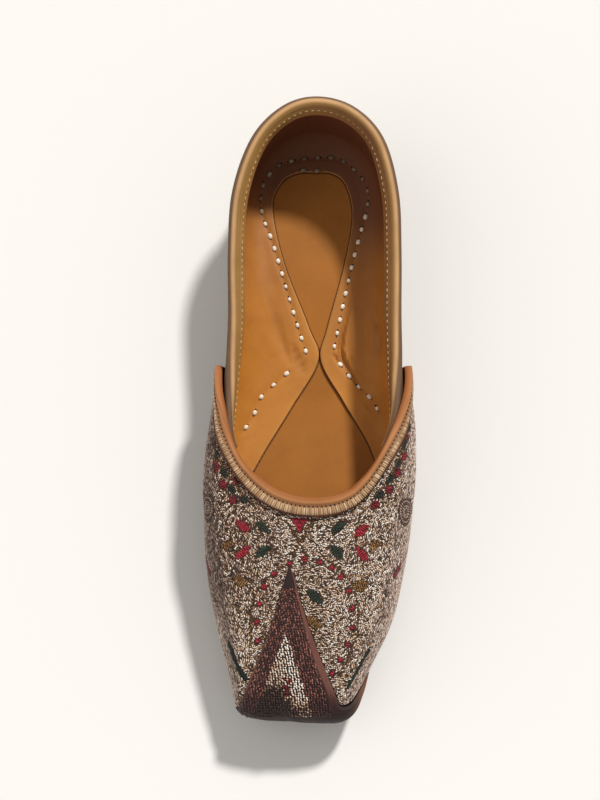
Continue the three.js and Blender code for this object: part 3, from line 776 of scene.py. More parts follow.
def upper_sections():
    turn = np.arange(0, LOOP, UPPER_STEP)
    foot = np.stack(feather_line(turn, WALL), -1)
    edge = margin_edge(turn)
    span = np.linalg.norm(edge - foot, axis=1)
    bend = np.minimum(LONGEST_BEND, 0.55 * span)

    def on_floor(distance, lift):
        plan = mix(foot, edge, (distance / span)[:, None])
        return np.concatenate([plan, (insole_top(plan[:, 1]) + GAP + lift)[:, None]], axis=1)

    # The bend starts where the wall comes down to the bend's own height above the insole.
    corner = on_floor(np.zeros_like(span), MARGIN_THICK)
    tries = np.linspace(1, 0, 240)
    z = offset_face(turn[:, None], tries[None], -WALL)[..., 2]
    limit = corner[:, 2] + bend
    first = np.argmax(z < limit[:, None], axis=1)
    i = np.arange(len(turn))
    share = (z[i, first - 1] - limit) / (z[i, first - 1] - z[i, first])
    bend_top = mix(tries[first - 1], tries[first], share)
    top = offset_face(turn, bend_top, -WALL)
    end = on_floor(bend, MARGIN_THICK)

    outer_h = np.concatenate([np.linspace(0, WIDE_AT, 9), np.linspace(WIDE_AT, 1, OUTER_ROWS - 8)[1:]])
    outer = offset_face(turn[:, None], outer_h[None], 0)
    wall_h = mix(1, bend_top[:, None], np.linspace(0, 1, WALL_ROWS)[None])
    wall = offset_face(turn[:, None], wall_h, -WALL)
    f = np.linspace(0, 1, BEND_ROWS)[None, 1:, None]
    curve = mix(mix(top[:, None], corner[:, None], f), mix(corner[:, None], end[:, None], f), f)
    shares = np.linspace(0, 1, FLOOR_ROWS)[1:]
    flat = np.stack([on_floor(mix(bend, span - LINING_EDGE, s), MARGIN_THICK) for s in shares], axis=1)
    inner = np.concatenate([wall, curve, flat], axis=1)
    rim = np.stack([on_floor(span, MARGIN_THICK - LINING_EDGE), on_floor(span, 0.2), on_floor(span - 0.2, 0)],
                   axis=1)
    under = np.stack([on_floor(mix(bend, span, 0.5), 0), on_floor(bend, 0),
                      on_floor(np.full_like(span, 0.1), 0), offset_face(turn, np.zeros_like(turn), -WALL)],
                     axis=1)

    normals = unit(np.cross(np.gradient(inner, axis=0), np.gradient(inner, axis=1)))
    normals *= np.sign(normals[:, -1:, 2:])
    lift = crease_lift(inner)
    lift[:, :3] = 0
    lift[:, -1] = 0
    inner = inner + normals * lift[..., None]

    sections = np.concatenate([outer, inner, rim, under], axis=1)
    zones = np.concatenate([np.linspace(0, 0.2, outer.shape[1]), np.linspace(0.3, 0.92, inner.shape[1]),
                            np.full(rim.shape[1], 1.0), np.full(under.shape[1], 0.6)])
    zone = np.tile(zones, (len(turn), 1))
    seam = np.zeros(zone.shape)
    dye_and_painted_light = np.zeros(zone.shape)
    lined = slice(outer.shape[1], outer.shape[1] + inner.shape[1])
    seam[:, lined] = SEAM_REACH - THONG_FAINT - np.minimum(from_thongs(inner[..., :2]), SEAM_REACH)
    dye_and_painted_light[:, lined] = lining_dye_and_shade(turn, lift)
    return sections, {"zone": zone, "seam": seam, "dye_and_painted_light": dye_and_painted_light}


def upper_piece():
    sections, values = upper_sections()
    piece = tube("upper_shell", sections, LINING, values, closed=True, sharp=50)
    dress(piece, "upper")
    return piece


# ---- Soles ----
def cap_strips(count):
    """A plate's end: its top row joined to its bottom row, with the two rim points at each side."""
    top = np.arange(count)
    bottom = np.arange(count + 2, 2 * count + 2)[::-1]
    j = np.arange(count - 1)
    middle = np.stack([top[j], top[j + 1], bottom[j + 1], bottom[j]], -1)
    right = np.array([[top[-1], count, count + 1, bottom[-1]]])
    left = np.array([[bottom[0], 2 * count + 2, 2 * count + 3, top[0]]])
    return np.concatenate([middle, right, left])


def plate_piece(name, node, material, turns, inward, low, high, steps, rounding, seam=None):
    """A plate across the shoe between two heights, with a rounded rim and a dark line along its seam, if it has
    one.
    """
    lateral = np.stack(feather_line(turns, inward(turns)), -1)
    medial = np.stack(feather_line(LOOP - turns, inward(turns)), -1)
    span = np.maximum(np.linalg.norm(lateral - medial, axis=1), 1e-6)
    inset = np.minimum(rounding / span, 0.25)[:, None]
    across = inset + (1 - 2 * inset) * np.linspace(0, 1, steps + 1)[None]

    def level(height, share, drop):
        plan = mix(medial[:, None], lateral[:, None], share[..., None])
        return np.concatenate([plan, (height(plan[..., 1]) + drop)[..., None]], axis=-1)

    one, none = np.ones((len(turns), 1)), np.zeros((len(turns), 1))
    sections = np.concatenate([
        level(high, across, 0), level(high, one, -rounding), level(low, one, rounding),
        level(low, across, 0)[:, ::-1], level(low, none, rounding), level(high, none, -rounding),
    ], axis=1)
    count = steps + 1
    zones = np.concatenate([np.full(count, 0.5), [0.0, 0.0], np.full(count, 1.0), [0.0, 0.0]])
    rings, size = sections.shape[:2]
    caps = cap_strips(count)
    quads = grid_quads(rings, size, False, True)
    quads = np.concatenate([quads, caps, caps[:, ::-1] + (rings - 1) * size])
    values = {"zone": np.tile(zones, (rings, 1))}
    if seam is not None:
        values["seam"] = SEAM_REACH - np.minimum(line_reach(sections[..., :2], seam)[0], SEAM_REACH)
    piece = new_piece(name, placed(sections).reshape(-1, 3), quads, material, values)
    dress(piece, node)


LIFT_INSET = 0.4 # the heel lift lies this far inside the feather edge


def soles():
    whole = np.linspace(0, HEEL, 321)
    lining_edge = margin_edge(np.arange(2.0, LOOP - 1.9, 0.125))
    # Along the lining's edge the insole gets a dark line: partly a glue line, partly painted shadow under the
    # edge.
    plate_piece("insole_sheet", "insole", INSOLE, whole,
                lambda t: np.full_like(t, WALL + 1), lambda at: sole_top(at) + GAP, insole_top, 84, 0.4,
                lining_edge)
    plate_piece("outsole_leather", "outsole", SOLE, whole,
                lambda t: -ribs_at(t)["welt"], sole_bottom, sole_top, 24, 0.8)
    tries = np.linspace(0, HEEL, 401)
    front = tries[np.argmax(feather_line(tries, 0)[1] < HEEL_FRONT)]
    plate_piece("heel_lift_leather", "heel_lift", LIFT, np.linspace(front, HEEL, 90),
                lambda t: np.full_like(t, LIFT_INSET), lambda at: 0 * at,
                lambda at: HEEL_RISE - GAP + 0 * at, 16, 0.6)


# ---- Vamp ----
EAR_THIN_FROM = 6.5 # the ears get thinner from this turn on


def vamp_gap(turn, h):
    """How far the vamp's inner face lies off the last's face. The ears go over the collar binding."""
    over_binding = smooth(5.9, 7.6, from_toe(turn)) * smooth(0.36, 0.56, h)
    return GAP + 0.1 + 0.15 * smooth(EAR - 1.6, EAR, from_toe(turn)) + 1.95 * over_binding


def thinned(turn):
    return 1 - 0.35 * smooth(EAR_THIN_FROM, EAR, from_toe(turn))


def vamp_top(turn):
    f = np.clip((from_toe(turn) - EAR + EAR_ROUND) / EAR_ROUND, 0, 1)
    return 1 - EAR_DROP * (1 - np.sqrt(1 - f**2))


VAMP_TURNS = np.concatenate([np.linspace(-EAR, -EAR + 1, 24), np.linspace(-EAR + 1, EAR - 1, 180)[1:-1],
                             np.linspace(EAR - 1, EAR, 24)])


def vamp_out(turn, h):
    """How far the vamp's outer face lies off the last's face."""
    return vamp_gap(turn, h) + VAMP_WALL * thinned(turn)


def vamp_piece():
    turn = VAMP_TURNS[:, None]
    rows = np.concatenate([np.linspace(0, WIDE_AT, 9), np.linspace(WIDE_AT, 1, 40)[1:]])[None]
    h = rows * vamp_top(turn)
    outer = offset_face(turn, h, vamp_out(turn, h))
    inner = offset_face(turn, h, vamp_gap(turn, h))[:, ::-1]
    sections = np.concatenate([outer, inner], axis=1)
    zone = np.tile(np.concatenate([rows[0], rows[0][::-1]]), (len(VAMP_TURNS), 1))
    piece = tube("vamp_leather", sections, VAMP_GROUND, {"zone": zone}, sharp=50)
    dress(piece, "vamp")
    return piece


# ---- Throat band ----
BAND_WIDE, BAND_NARROW = 7.1, 3.0
NARROW_FROM = 4.6 # the band gets narrower from this turn to the ear
BAND_STEPS = 26
ROLL_STEPS = 12
RIB_PITCH = 1.78 # a pair of rib cords and one needle hole
RIBS_AT, HOLES_AT = 0.32, 0.62 # shares of the strip's width, from its outer edge
BAND_ROLL = 0.7 # how far the roll stands over the vamp's edge
ROLL_THICK = 0.45


def band_narrowing(turn):
    return smooth(NARROW_FROM, EAR, from_toe(turn))


def band_relief(share):
    """The strip's thickness beyond its leather: a flat edge, a bed for ribs, a groove and a fat roll."""
    bed = 0.1 * smooth(0.06, 0.12, share) * (1 - smooth(0.48, 0.52, share))
    groove = -0.25 * np.exp(-(((share - HOLES_AT) / 0.05) ** 2))
    return bed + groove + ROLL_THICK * smooth(0.68, 0.84, share)


def throat_band():
    t = VAMP_TURNS[:, None]
    top = vamp_top(VAMP_TURNS)
    width = mix(BAND_WIDE, BAND_NARROW, band_narrowing(t))
    shares = np.linspace(0, 1, BAND_STEPS)
    h = heights_below(VAMP_TURNS, top, width * (1 - shares)[None])
    gap = GAP + 0.15 + 0.3 * smooth(EAR_THIN_FROM, EAR, from_toe(t))
    narrow = thinned(t)
    leather_top = vamp_gap(t, h) + VAMP_WALL * narrow + gap
    outer = offset_face(t, h, leather_top + (BAND_WALL + band_relief(shares)[None]) * narrow)
    inner = offset_face(t, h, leather_top)[:, ::-1]
    # The strip turns over the throat's edge, and at the ears it stays on their own leather.
    under = leather_top[:, -1:]
    inside = mix(-WALL, vamp_gap(t, top[:, None]), smooth(6.6, 7.4, from_toe(t)))
    f = np.linspace(0, 1, ROLL_STEPS)[None]
    arc = np.sin(np.pi * np.clip(f * 0.94 + 0.06, 0, 1)) ** 0.6
    roll_out = mix(under + (BAND_WALL + ROLL_THICK) * narrow, inside - 0.1, f)
    over = past_edge(t, top[:, None], roll_out, 0.1 + BAND_ROLL * arc)
    back = past_edge(t, top[:, None], mix(under, inside, f), GAP * np.ones_like(f))[:, ::-1]
    sections = np.concatenate([outer, over, back, inner], axis=1)
    zones = np.concatenate([shares * 0.9, np.linspace(0.9, 1, ROLL_STEPS), np.full(ROLL_STEPS, 1.0),
                            np.full(BAND_STEPS, 0.3)])
    zone = np.tile(zones, (len(VAMP_TURNS), 1))
    piece = tube("throat_band_leather", sections, BAND, {"zone": zone}, sharp=60)
    dress(piece, "throat_band")
    return sections, shares


def line_on(sections, column):
    """A line along a tube's sections at one of its points, with directions off the surface, in metres."""
    points = placed(sections)
    line = points[:, column]
    around = unit(points[:, column + 1] - points[:, column - 1])
    along = unit(np.gradient(line, axis=0))
    return line, unit(np.cross(along, around))


def facing(outs, towards):
    """The directions turned so that they point the same way as towards."""
    return outs * np.sign((outs * towards).sum(-1, keepdims=True))


UP = np.array([0, 0, 1.0])
TONE_DRAWS = np.random.default_rng(7)


def any_tones(count):
    return TONE_DRAWS.uniform(0, 1, count)


FIRST_RIB = 0.3
RIB_STARTS = (FIRST_RIB, FIRST_RIB + 0.42 * RIB_PITCH)
FIRST_HOLE = FIRST_RIB + 0.8 * RIB_PITCH
RIB_NARROW = 0.36 # a rib's length at the ear, as a share of its length at the toe


def band_stitches(sections, shares):
    line, outs = line_on(sections, int(np.argmin(abs(shares - RIBS_AT))))
    outs = facing(outs, UP)
    groups = []
    for start in RIB_STARTS:
        ribs = row_stitches(line, outs, RIB_PITCH, any_tones, start, across=True)
        turn = np.interp(walk(line, RIB_PITCH, start), np.arange(len(VAMP_TURNS)), VAMP_TURNS)
        ribs[3][:, 0] = mix(1, RIB_NARROW, band_narrowing(turn))
        groups.append(ribs)
    sew("throat_ribs", groups, RIB, (3.3, 0.84, 0.9), 0.05, 2, 3)
    line, outs = line_on(sections, int(np.argmin(abs(shares - HOLES_AT))))
    holes = row_stitches(line, facing(outs, UP), RIB_PITCH, any_tones, FIRST_HOLE)
    sew("throat_holes", [holes], DARK, (0.85, 0.85, 0.5), 0.1, 2, 4)


# ---- Collar binding ----
BINDING_FRONT = STATIONS.index("vamp side") - 1.4 # the turn at which it starts, hidden behind the vamp
STRIP_STEPS = 14
ROUND_STEPS = 14 # over the collar's edge
LINE_STEP = 4 # the running stitch is this many steps down the strip inside
RUNNING_PITCH = 2.6
PAINTED_STRIP_SHADE = 0.5 # painted shade: the strip is darker on the outer side
PAINTED_HEEL_SHADE = 0.2 # and at the heel


def collar_binding():
    turns = np.linspace(BINDING_FRONT, LOOP - BINDING_FRONT, 330)
    low = heights_below(turns, np.ones_like(turns), np.full((len(turns), 1), BINDING_LEG))
    gap = GAP + 0.1
    t = turns[:, None]
    shares = np.linspace(0, 1, STRIP_STEPS)
    h = mix(low, 1, shares[None])
    outer = offset_face(t, h, gap + BINDING_WALL * (0.75 + 0.25 * np.sqrt(shares))[None])
    f = np.linspace(0, 1, ROUND_STEPS + 2)[None, 1:-1]
    roll = np.sin(np.pi * f) ** 0.75
    roll_out = mix(gap + BINDING_WALL, -WALL - gap - BINDING_WALL, f)
    over = past_edge(t, 1.0, roll_out, 0.1 + (gap + BINDING_WALL) * roll)
    # Inside, the strip flares away from the wall, with a groove under the roll and a lip at its cut edge.
    flare = 1.5 * np.sin(0.5 * np.pi * (1 - shares)) ** 0.8
    flare = flare - 0.2 * np.exp(-(((shares - 0.93) / 0.06) ** 2))
    lip = 1 - smooth(0.0, 0.12, shares)
    leg = offset_face(t, h, -WALL - gap - BINDING_WALL - flare[None] + 0.9 * lip[None])[:, ::-1]
    back = offset_face(t, h, -WALL - 0.15)
    inside_top = past_edge(t, 1.0, mix(-WALL - gap, gap, np.linspace(0, 1, 5))[None], gap * np.ones((1, 5)))
    front = offset_face(t, h, gap)[:, ::-1]
    sections = np.concatenate([outer, over, leg, back, inside_top, front], axis=1)
    zones = np.concatenate([np.linspace(0, 0.3, STRIP_STEPS), np.linspace(0.33, 0.56, ROUND_STEPS),
                            np.linspace(0.58, 1, STRIP_STEPS), np.full(STRIP_STEPS, 1.0), np.full(5, 0.5),
                            np.full(STRIP_STEPS, 0.0)])
    dye_and_painted_light = np.zeros(sections.shape[:2])
    inside = STRIP_STEPS + ROUND_STEPS # the first column inside
    # Painted shade on the inside strip, on the outer side and at the heel.
    strip_painted_shade = PAINTED_STRIP_SHADE * (1 - smooth(HEEL - 2.0, HEEL + 0.5, turns))
    strip_painted_shade = strip_painted_shade + PAINTED_HEEL_SHADE * np.exp(-(((turns - HEEL) / 2) ** 2))
    dye_and_painted_light[:, inside - 2 : inside + STRIP_STEPS] = strip_painted_shade[:, None]
    values = {"zone": np.tile(zones, (len(turns), 1)), "dye_and_painted_light": dye_and_painted_light}
    piece = tube("collar_binding_leather", sections, BINDING, values, sharp=60)
    dress(piece, "collar_binding")
    line, outs = line_on(sections, inside + LINE_STEP)
    middle = placed(np.array([2.0, 70.0, 60.0]))
    outs = facing(outs, middle - line)
    running = row_stitches(line, outs, RUNNING_PITCH, any_tones, 0.6)
    sew("collar_running_stitch", [running], YELLOW, (1.5, 0.6, 0.5), 0.1, 2, 5)


# ---- Toe fold ----
def curl_half(at):
    length = np.maximum(0.1, at - CURL_TIP)
    nose = CURL_NOSE * np.sqrt(np.minimum(1, length / CURL_NOSE_LENGTH))
    return (nose + CURL_WIDTH * (length / (CURL_BASE - CURL_TIP)) ** CURL_TAPER) / 2


def turn_at_x(x, h, out):
    """The turn, near the toe, at which the face moved out lies at x, for height h."""
    low, high = np.full(x.shape, -5.0), np.full(x.shape, 5.0)
    for _ in range(30):
        middle = (low + high) / 2
        left = offset_face(middle, h, out)[..., 0] < x
        low = np.where(left, middle, low)
        high = np.where(left, high, middle)
    return (low + high) / 2


CURL_ACROSS = 57
WING_SIT = 0.1 # the fold's ends lie flat on the vamp
RIDGE_X = -10.3 # a soft fold runs along the tongue here
RIDGE_HEIGHT, RIDGE_WIDTH = 0.7, 1.8


def toe_curl():
    tries = np.linspace(0, 1, 401)
    tip = tries[np.argmax((tries > WIDE_AT) & (face(0, tries)[:, 1] < CURL_TIP))]
    h = np.concatenate([np.linspace(0, WIDE_AT, 16), np.linspace(WIDE_AT, tip, 90)[1:]])[:, None]
    at = face(0, h)[..., 1]
    half = curl_half(np.minimum(CURL_BASE, at))
    lifted = smooth(WIDE_AT * 0.7, WIDE_AT + 0.16, h)
    fold_top = vamp_gap(0, 0) + VAMP_WALL + CURL_CLEAR + CURL_EDGE
    sides = [mix(wing, turn_at_x(CURL_X + side * half, h, fold_top), lifted)
             for side, wing in zip((-1, 1), CURL_WINGS)]
    edge = mix(CURL_WING_EDGE, CURL_EDGE, lifted)
    middle = mix(CURL_FOLD, CURL_EDGE + CURL_CROWN * np.minimum(1, half / 9), lifted)
    f = np.linspace(0, 1, CURL_ACROSS)[None]
    end = np.abs(2 * f - 1)
    under = vamp_gap(0, 0) + VAMP_WALL + CURL_CLEAR - (CURL_CLEAR - WING_SIT) * end**2 * (1 - lifted)
    rim = np.clip(1 - end, 0, 0.04) / 0.04
    thick = mix(middle, edge, end ** mix(3.2, 1.6, lifted))
    turn = mix(sides[0], sides[1], f)
    x = mix(-half, half, f) + CURL_X
    ridge = RIDGE_HEIGHT * np.exp(-(((x - RIDGE_X) / RIDGE_WIDTH) ** 2)) * lifted * smooth(202, 212, at)
    margin = smooth(0.86, 0.8, end) # the bare leather beside the cord work lies lower
    body = 0.35 * (margin - 1) * lifted
    round_edge = -0.7 * (1 - np.sqrt(1 - (1 - rim) ** 2)) * lifted
    top = offset_face(turn, h, under + thick + ridge + body + round_edge)
    bottom = offset_face(turn, h, under + 0 * thick)[:, ::-1]
    sections = np.concatenate([top, bottom], axis=1)
    across = 2 * f[0] - 1
    smooth_side = np.where(across > 0, smooth(0.72, 0.84, across), smooth(0.9, 0.97, -across))
    tone = 0.35 + 0.65 * smooth_side[None] * lifted * smooth(250, 240, at)
    zone = np.concatenate([np.broadcast_to(tone, top.shape[:2]), np.full(bottom.shape[:2], 0.3)], axis=1)
    # A painted highlight: orange-brown on the outer wing, where it lies flat on the vamp.
    tone_with_painted_light = 0.75 * smooth(0.62, 0.9, across)[None] * (1 - smooth(0.3, 0.8, lifted))
    dye_and_painted_light = np.concatenate([tone_with_painted_light, np.zeros(bottom.shape[:2])], axis=1)
    piece = tube("toe_fold_leather", sections, TOE, {"zone": zone, "dye_and_painted_light": dye_and_painted_light}, sharp=50)
    dress(piece, "toe_curl")
    return piece


CORD_START, CORD_END = 204, 255.2 # the cord work, from the tongue's bare tip to the toe's front
CORD_ROWS, CORD_PITCH = 0.92, 1.1
CORD_INNER, CORD_OUTER = -0.9, 0.74 # how far across the tongue it goes, as shares of its half width
CORD_TILT = math.radians(62) # the cords lie in a herringbone, leaning this far from +X on both sides
WEDGE_START = 221
WEDGE_X = -9.9
WEDGE_DRIFT = -0.035 # how far the wedge leans inwards for each mm along it
WEDGE_SLOPE = 0.36 # the wedge's half width for each mm along it
RED_X, RED_HALF = -9.6, 1.9 # a few red beads at the wedge's foot
RED_START, RED_END = 239, 246.5
RED_SHARE = 0.5


def tongue_stitches(piece):
    rng = np.random.default_rng(11)
    surface = surface_of(piece)
    cords, beads, reds = [], [], []
    for row, at in enumerate(np.arange(CORD_START, CORD_END, CORD_ROWS)):
        half = float(curl_half(np.array(at)))
        down = at - WEDGE_START
        for x in np.arange(CURL_X - half, CURL_X + half, CORD_PITCH) + CORD_PITCH / 2 * (row % 2):
            across = (x - CURL_X) / half
            if across < CORD_INNER or across > CORD_OUTER:
                continue
            spot = (x + rng.uniform(-0.25, 0.25), at + rng.uniform(-0.25, 0.25))
            if abs(x - WEDGE_X - WEDGE_DRIFT * down) < down * WEDGE_SLOPE:
                # Painted light and shade: beads right of the ridge are brighter, those in the inner lower
                # corner and towards the fold darker.
                shaded_corner = smooth(238, 247, at) * smooth(-3, -13, x)
                bright = 0.66 + 0.24 * (x > RIDGE_X) - 0.72 * shaded_corner - 0.6 * smooth(246, 252, at)
                bright += rng.uniform(-0.28, 0.28)
                at_foot = RED_START < at < RED_END and abs(x - RED_X) < RED_HALF
                is_red = at_foot and rng.uniform() < RED_SHARE
                tone = np.clip(bright * (0.45 if is_red else 1), 0, 1)
                (reds if is_red else beads).append((*spot, tone, 1.0))
            else:
                tone = rng.uniform(0.4, 0.9) if rng.uniform() < 0.72 else rng.uniform(0, 0.3)
                # The cords darken towards the fold: painted shade.
                cords.append((*spot, tone * (1 - 0.6 * smooth(244, 251, at)), np.sign(across)))
    for name, spots, material, size in (
        ("tongue_cord_stitches", cords, MAROON, (1.2, 0.6, 0.9)),
        ("tongue_silver_beads", beads, SILVER, (1.1, 0.72, 0.9)),
        ("tongue_red_beads", reds, RED, (1.15, 0.75, 0.85)),
    ):
        x, at, tones, side = np.array(spots, float).T
        places, outs = dropped(surface, x, at)
        tilt = CORD_TILT * side + rng.uniform(-0.45, 0.45, len(x))
        ways = np.stack([np.cos(tilt), -np.sin(tilt), np.zeros(len(x))], -1)
        sew(name, [(places, outs, ways, even(len(x)), tones)], material, size, 0.15, 1, 8)


# ---- Embroidery on the vamp ----
# Leaves: thread, x, at, length, width and the angle of their axis, from +X towards the toe.
LEAVES = (
    ("red", -27.4, 178.2, 7.6, 3.4, 40),
    ("red", -27.4, 188.8, 7.6, 3.4, -40),
    ("green", -19.2, 178.5, 7.4, 3, 38),
    ("green", -19.2, 188.3, 7.8, 3, -34),
    ("green", 11.9, 178.5, 7.6, 3, -37),
    ("green", 11, 188.7, 7.2, 3.2, 45),
    ("red", 20.9, 180.2, 7.8, 3.4, -40),
    ("red", 21.3, 189.6, 7.6, 3.4, 50),
    ("green", 2, 206.5, 8.6, 3.6, 42),
    ("gold", 1.6, 216.9, 7.4, 4, 40),
    ("gold", -28.7, 200.1, 6.5, 4, 35),
    ("gold", 20.5, 202.1, 7, 4.4, -15),
    ("gold", -33.7, 185.6, 5.2, 3, -10),
    ("gold", 26.7, 185.6, 5.6, 3, -20),
    ("green", -38, 149.2, 4.6, 1.8, 84),
    ("red", -38.2, 154, 4.6, 2.2, 80),
    ("green", -35.2, 156.4, 4.8, 2.2, 66),
    ("red", -30.4, 160.2, 4.2, 1.5, 55),
    ("red", -35.3, 161.4, 4.6, 3, 66),
    ("green", -31.8, 163.2, 4, 2.6, 60),
    ("red", -31.4, 167.4, 3.9, 3.5, 45),
    ("green", -26.7, 167.4, 4, 2.8, 25),
    ("red", 26.6, 169.6, 4.4, 3, -50),
    ("green", 28.2, 165.4, 4.2, 2.6, -45),
    ("red", 32.2, 163.4, 3.9, 3, -55),
    ("green", 32.6, 158.9, 4.6, 2.4, -60),
    ("red", 35.6, 156.3, 4.4, 2.4, -65),
    ("green", 35.9, 152.4, 4.8, 2, -68),
    ("red", 38.5, 149.6, 3.8, 1.8, -72),
    ("green", 38.6, 144.4, 5.2, 1.8, -78),
    ("red", 40, 141.8, 3.6, 1.3, -80),
    ("green", 40.4, 137, 5.6, 1.5, -82),
)
GARLAND_END = 172 # the leaves behind this are the garland's, of darker thread
# Dots of the arch that goes round the tongue: x, at.
ARCH = (
    (-2.4, 191.3), (-8.5, 193.3), (-14.3, 197.3), (-18.6, 202.7), (-20.8, 209.5), (-21.8, 216.7),
    (-21.6, 224.4), (4.2, 192.6), (8.9, 195), (12.6, 198.8), (15.8, 204.3), (17, 211.4), (17.2, 219.1),
    (15.4, 225.8), (12.4, 232), (9, 237.4),
)
# Lines of gold thread: half width, points (x, at).
LINES = (
    (0.5, ((-9.8, 176), (-5.6, 183), (-1.2, 190))),
    (0.5, ((1.6, 176), (-2.6, 183), (-7.2, 190))),
    (0.4, ((-39.7, 141.4), (-38.9, 146), (-37, 151), (-33.6, 157), (-28.6, 164), (-22.6, 169.6))),
    (0.4, ((41.3, 131), (39.6, 139), (37, 148), (34, 155.4), (30.2, 161.6), (25.2, 167.6))),
    (0.4, ((-11.5, 194), (-18, 199.5), (-23.2, 207), (-24.4, 216), (-24.2, 226))),
    (0.4, ((6, 191), (12.6, 195.6), (18.2, 203), (19.8, 212), (19.4, 221), (16.6, 229), (11.6, 238))),
)
TRIANGLE = {"x": -4.1, "at": 175.2, "width": 6.4, "height": 5.6}
# What lies low on the sides is charted as turns and distances down from the throat, with sizes along the row
# and down the rib.
TURN_SIZE = 19 # one turn along the sides
COILS = ((-7.05, 27.5, 6.4, 6.4), (6.9, 26.5, 6.4, 6.4))
COIL_RINGS = 6 # rings of couched cord in a coil
DARK_RINGS = (0, 3, 5) # those of dark cord, from the middle
SIDE_LEAVES = (
    ("red", -6.1, 50.5, 5, 1.5),
    ("red", 5.75, 44, 5, 1.5),
    ("green", -7.9, 33, 3.6, 1.2),
    ("green", 8, 31, 3.6, 1.2),
)
# Green lines beside the toe's corners: half width, points (turn, distance).
SIDE_LINES = (
    (1.3, ((-4.22, 67.6), (-3.82, 70.5), (-3.06, 73.9), (-2.35, 76.2), (-2.03, 77.8))),
    (1.0, ((4.05, 67.6), (3.4, 71.3), (2.87, 74.6), (2.3, 78.8))),
)
SIDE_STRANDS = (-0.75, -0.25, 0.25, 0.75) # across a side line, as shares of its half width


def leaf_shape(x, at, leaf, grow=0.0):
    """Whether plan points lie in a leaf: two arcs that meet in points."""
    _, cx, cat, length, width, angle = leaf
    c, s = math.cos(math.radians(angle)), math.sin(math.radians(angle))
    u = ((x - cx) * c + (at - cat) * s) / (length / 2 + grow)
    v = (-(x - cx) * s + (at - cat) * c) / (width / 2 + grow)
    return np.abs(v) < 1 - u * u


def in_triangle(x, at, grow=0.0):
    down = (at - TRIANGLE["at"]) / TRIANGLE["height"]
    half = TRIANGLE["width"] / 2 * (1 - down) + grow
    return (down > -0.05) & (down < 1.05) & (np.abs(x - TRIANGLE["x"]) < half)


CHART_TURNS = np.linspace(-EAR + 0.05, EAR - 0.05, 501)


def vamp_chart():
    """Heights down the vamp at each of the chart's turns, and their distances from its top edge."""
    turn = CHART_TURNS[:, None]
    h = vamp_top(turn) * (1 - np.linspace(0, 1, 300))[None]
    return h, run_along(offset_face(turn, h, vamp_out(turn, h)))


CHART_HEIGHTS, CHART_DEPTHS = vamp_chart()


def height_at(turn, distance):
    """The heights that lie these distances down from the vamp's top edge."""
    place = (turn - CHART_TURNS[0]) / (CHART_TURNS[1] - CHART_TURNS[0])
    low = np.clip(place.astype(int), 0, len(CHART_TURNS) - 2)
    near = np.array([np.interp(d, CHART_DEPTHS[i], CHART_HEIGHTS[i]) for i, d in zip(low, distance)])
    far = np.array([np.interp(d, CHART_DEPTHS[i], CHART_HEIGHTS[i]) for i, d in zip(low + 1, distance)])
    return mix(near, far, place - low)


ROW_PITCH, STITCH_PITCH = 0.74, 0.91 # of the ground's stitches
FANS = ((-23.4, 183.5), (16.4, 184.3)) # the ground opens out in rings round these two places
FAN_SPACING, FAN_TONE = 2.4, 0.2


def ground_rows():
    """Turns, heights and distances of the ground's stitches, in rows at even distances from the throat."""
    turns, h, depth = CHART_TURNS, CHART_HEIGHTS, CHART_DEPTHS
    rng = np.random.default_rng(5)
    found = []
    for distance in np.arange(1.0, depth.max(), ROW_PITCH):
        inside = depth[:, -1] > distance + 0.4
        row_h = np.array([np.interp(distance, depth[i], h[i]) for i in range(len(turns))])
        length = run_along(offset_face(turns, row_h, vamp_out(turns, row_h)))
        marks = np.arange(rng.uniform(0, STITCH_PITCH), length[-1], STITCH_PITCH)
        marks = marks + rng.uniform(-0.18, 0.18, len(marks))
        t = np.interp(marks, length, turns)
        ok = np.interp(marks, length, inside.astype(float)) > 0.99
        wobble = rng.uniform(-0.16, 0.16, len(marks))
        t_h = np.interp(t, turns, row_h) + wobble / np.maximum(np.interp(t, turns, depth[:, -1]), 20)
        found.append(np.stack([t, t_h, np.full(len(t), distance)], -1)[ok])
    return np.concatenate(found)


def surface_frames(turn, h):
    """Place, outward normal and the directions along and up the vamp, in metres."""
    e = 0.02

    def spot(turn, h, lift=0):
        return placed(offset_face(turn, h, out + lift))

    out = vamp_out(turn, h)
    here = spot(turn, h)
    along = unit(spot(turn + e, h) - spot(turn - e, h))
    up = unit(spot(turn, np.minimum(1, h + e)) - spot(turn, np.maximum(0, h - e)))
    normal = facing(unit(np.cross(along, up)), spot(turn, h, 1) - here)
    return here, normal, along, up


def wander(x, at):
    """A slow, repeatable drift over the vamp, from -1 to 1."""
    one = np.sin(x * 0.83 + 1.7 * np.sin(at * 0.31))
    return (one + np.sin(at * 0.67 + 1.3 * np.sin(x * 0.43 + 2.0))) / 2


TONGUE_FRONT = -60 # the tongue lies over nothing behind this Y
TONGUE_REACH = 9 # it is never farther than this above the vamp


def covered(places, normals, fold):
    """Whether the toe fold lies just over each place."""
    hidden = np.zeros(len(places), bool)
    for i in np.flatnonzero(places[:, 1] < TONGUE_FRONT * MM):
        for way in (normals[i], UP):
            hit = fold.ray_cast(Vector(places[i]), Vector(way), TONGUE_REACH * MM)[0]
            hidden[i] |= hit is not None
    return hidden


def side_reach(turn, distance, spot):
    """How far a place is from a coil's or a side leaf's centre, as a share of its radius."""
    centre, depth, wide, deep = spot
    return np.hypot((turn - centre) * TURN_SIZE / wide, (distance - depth) / deep)


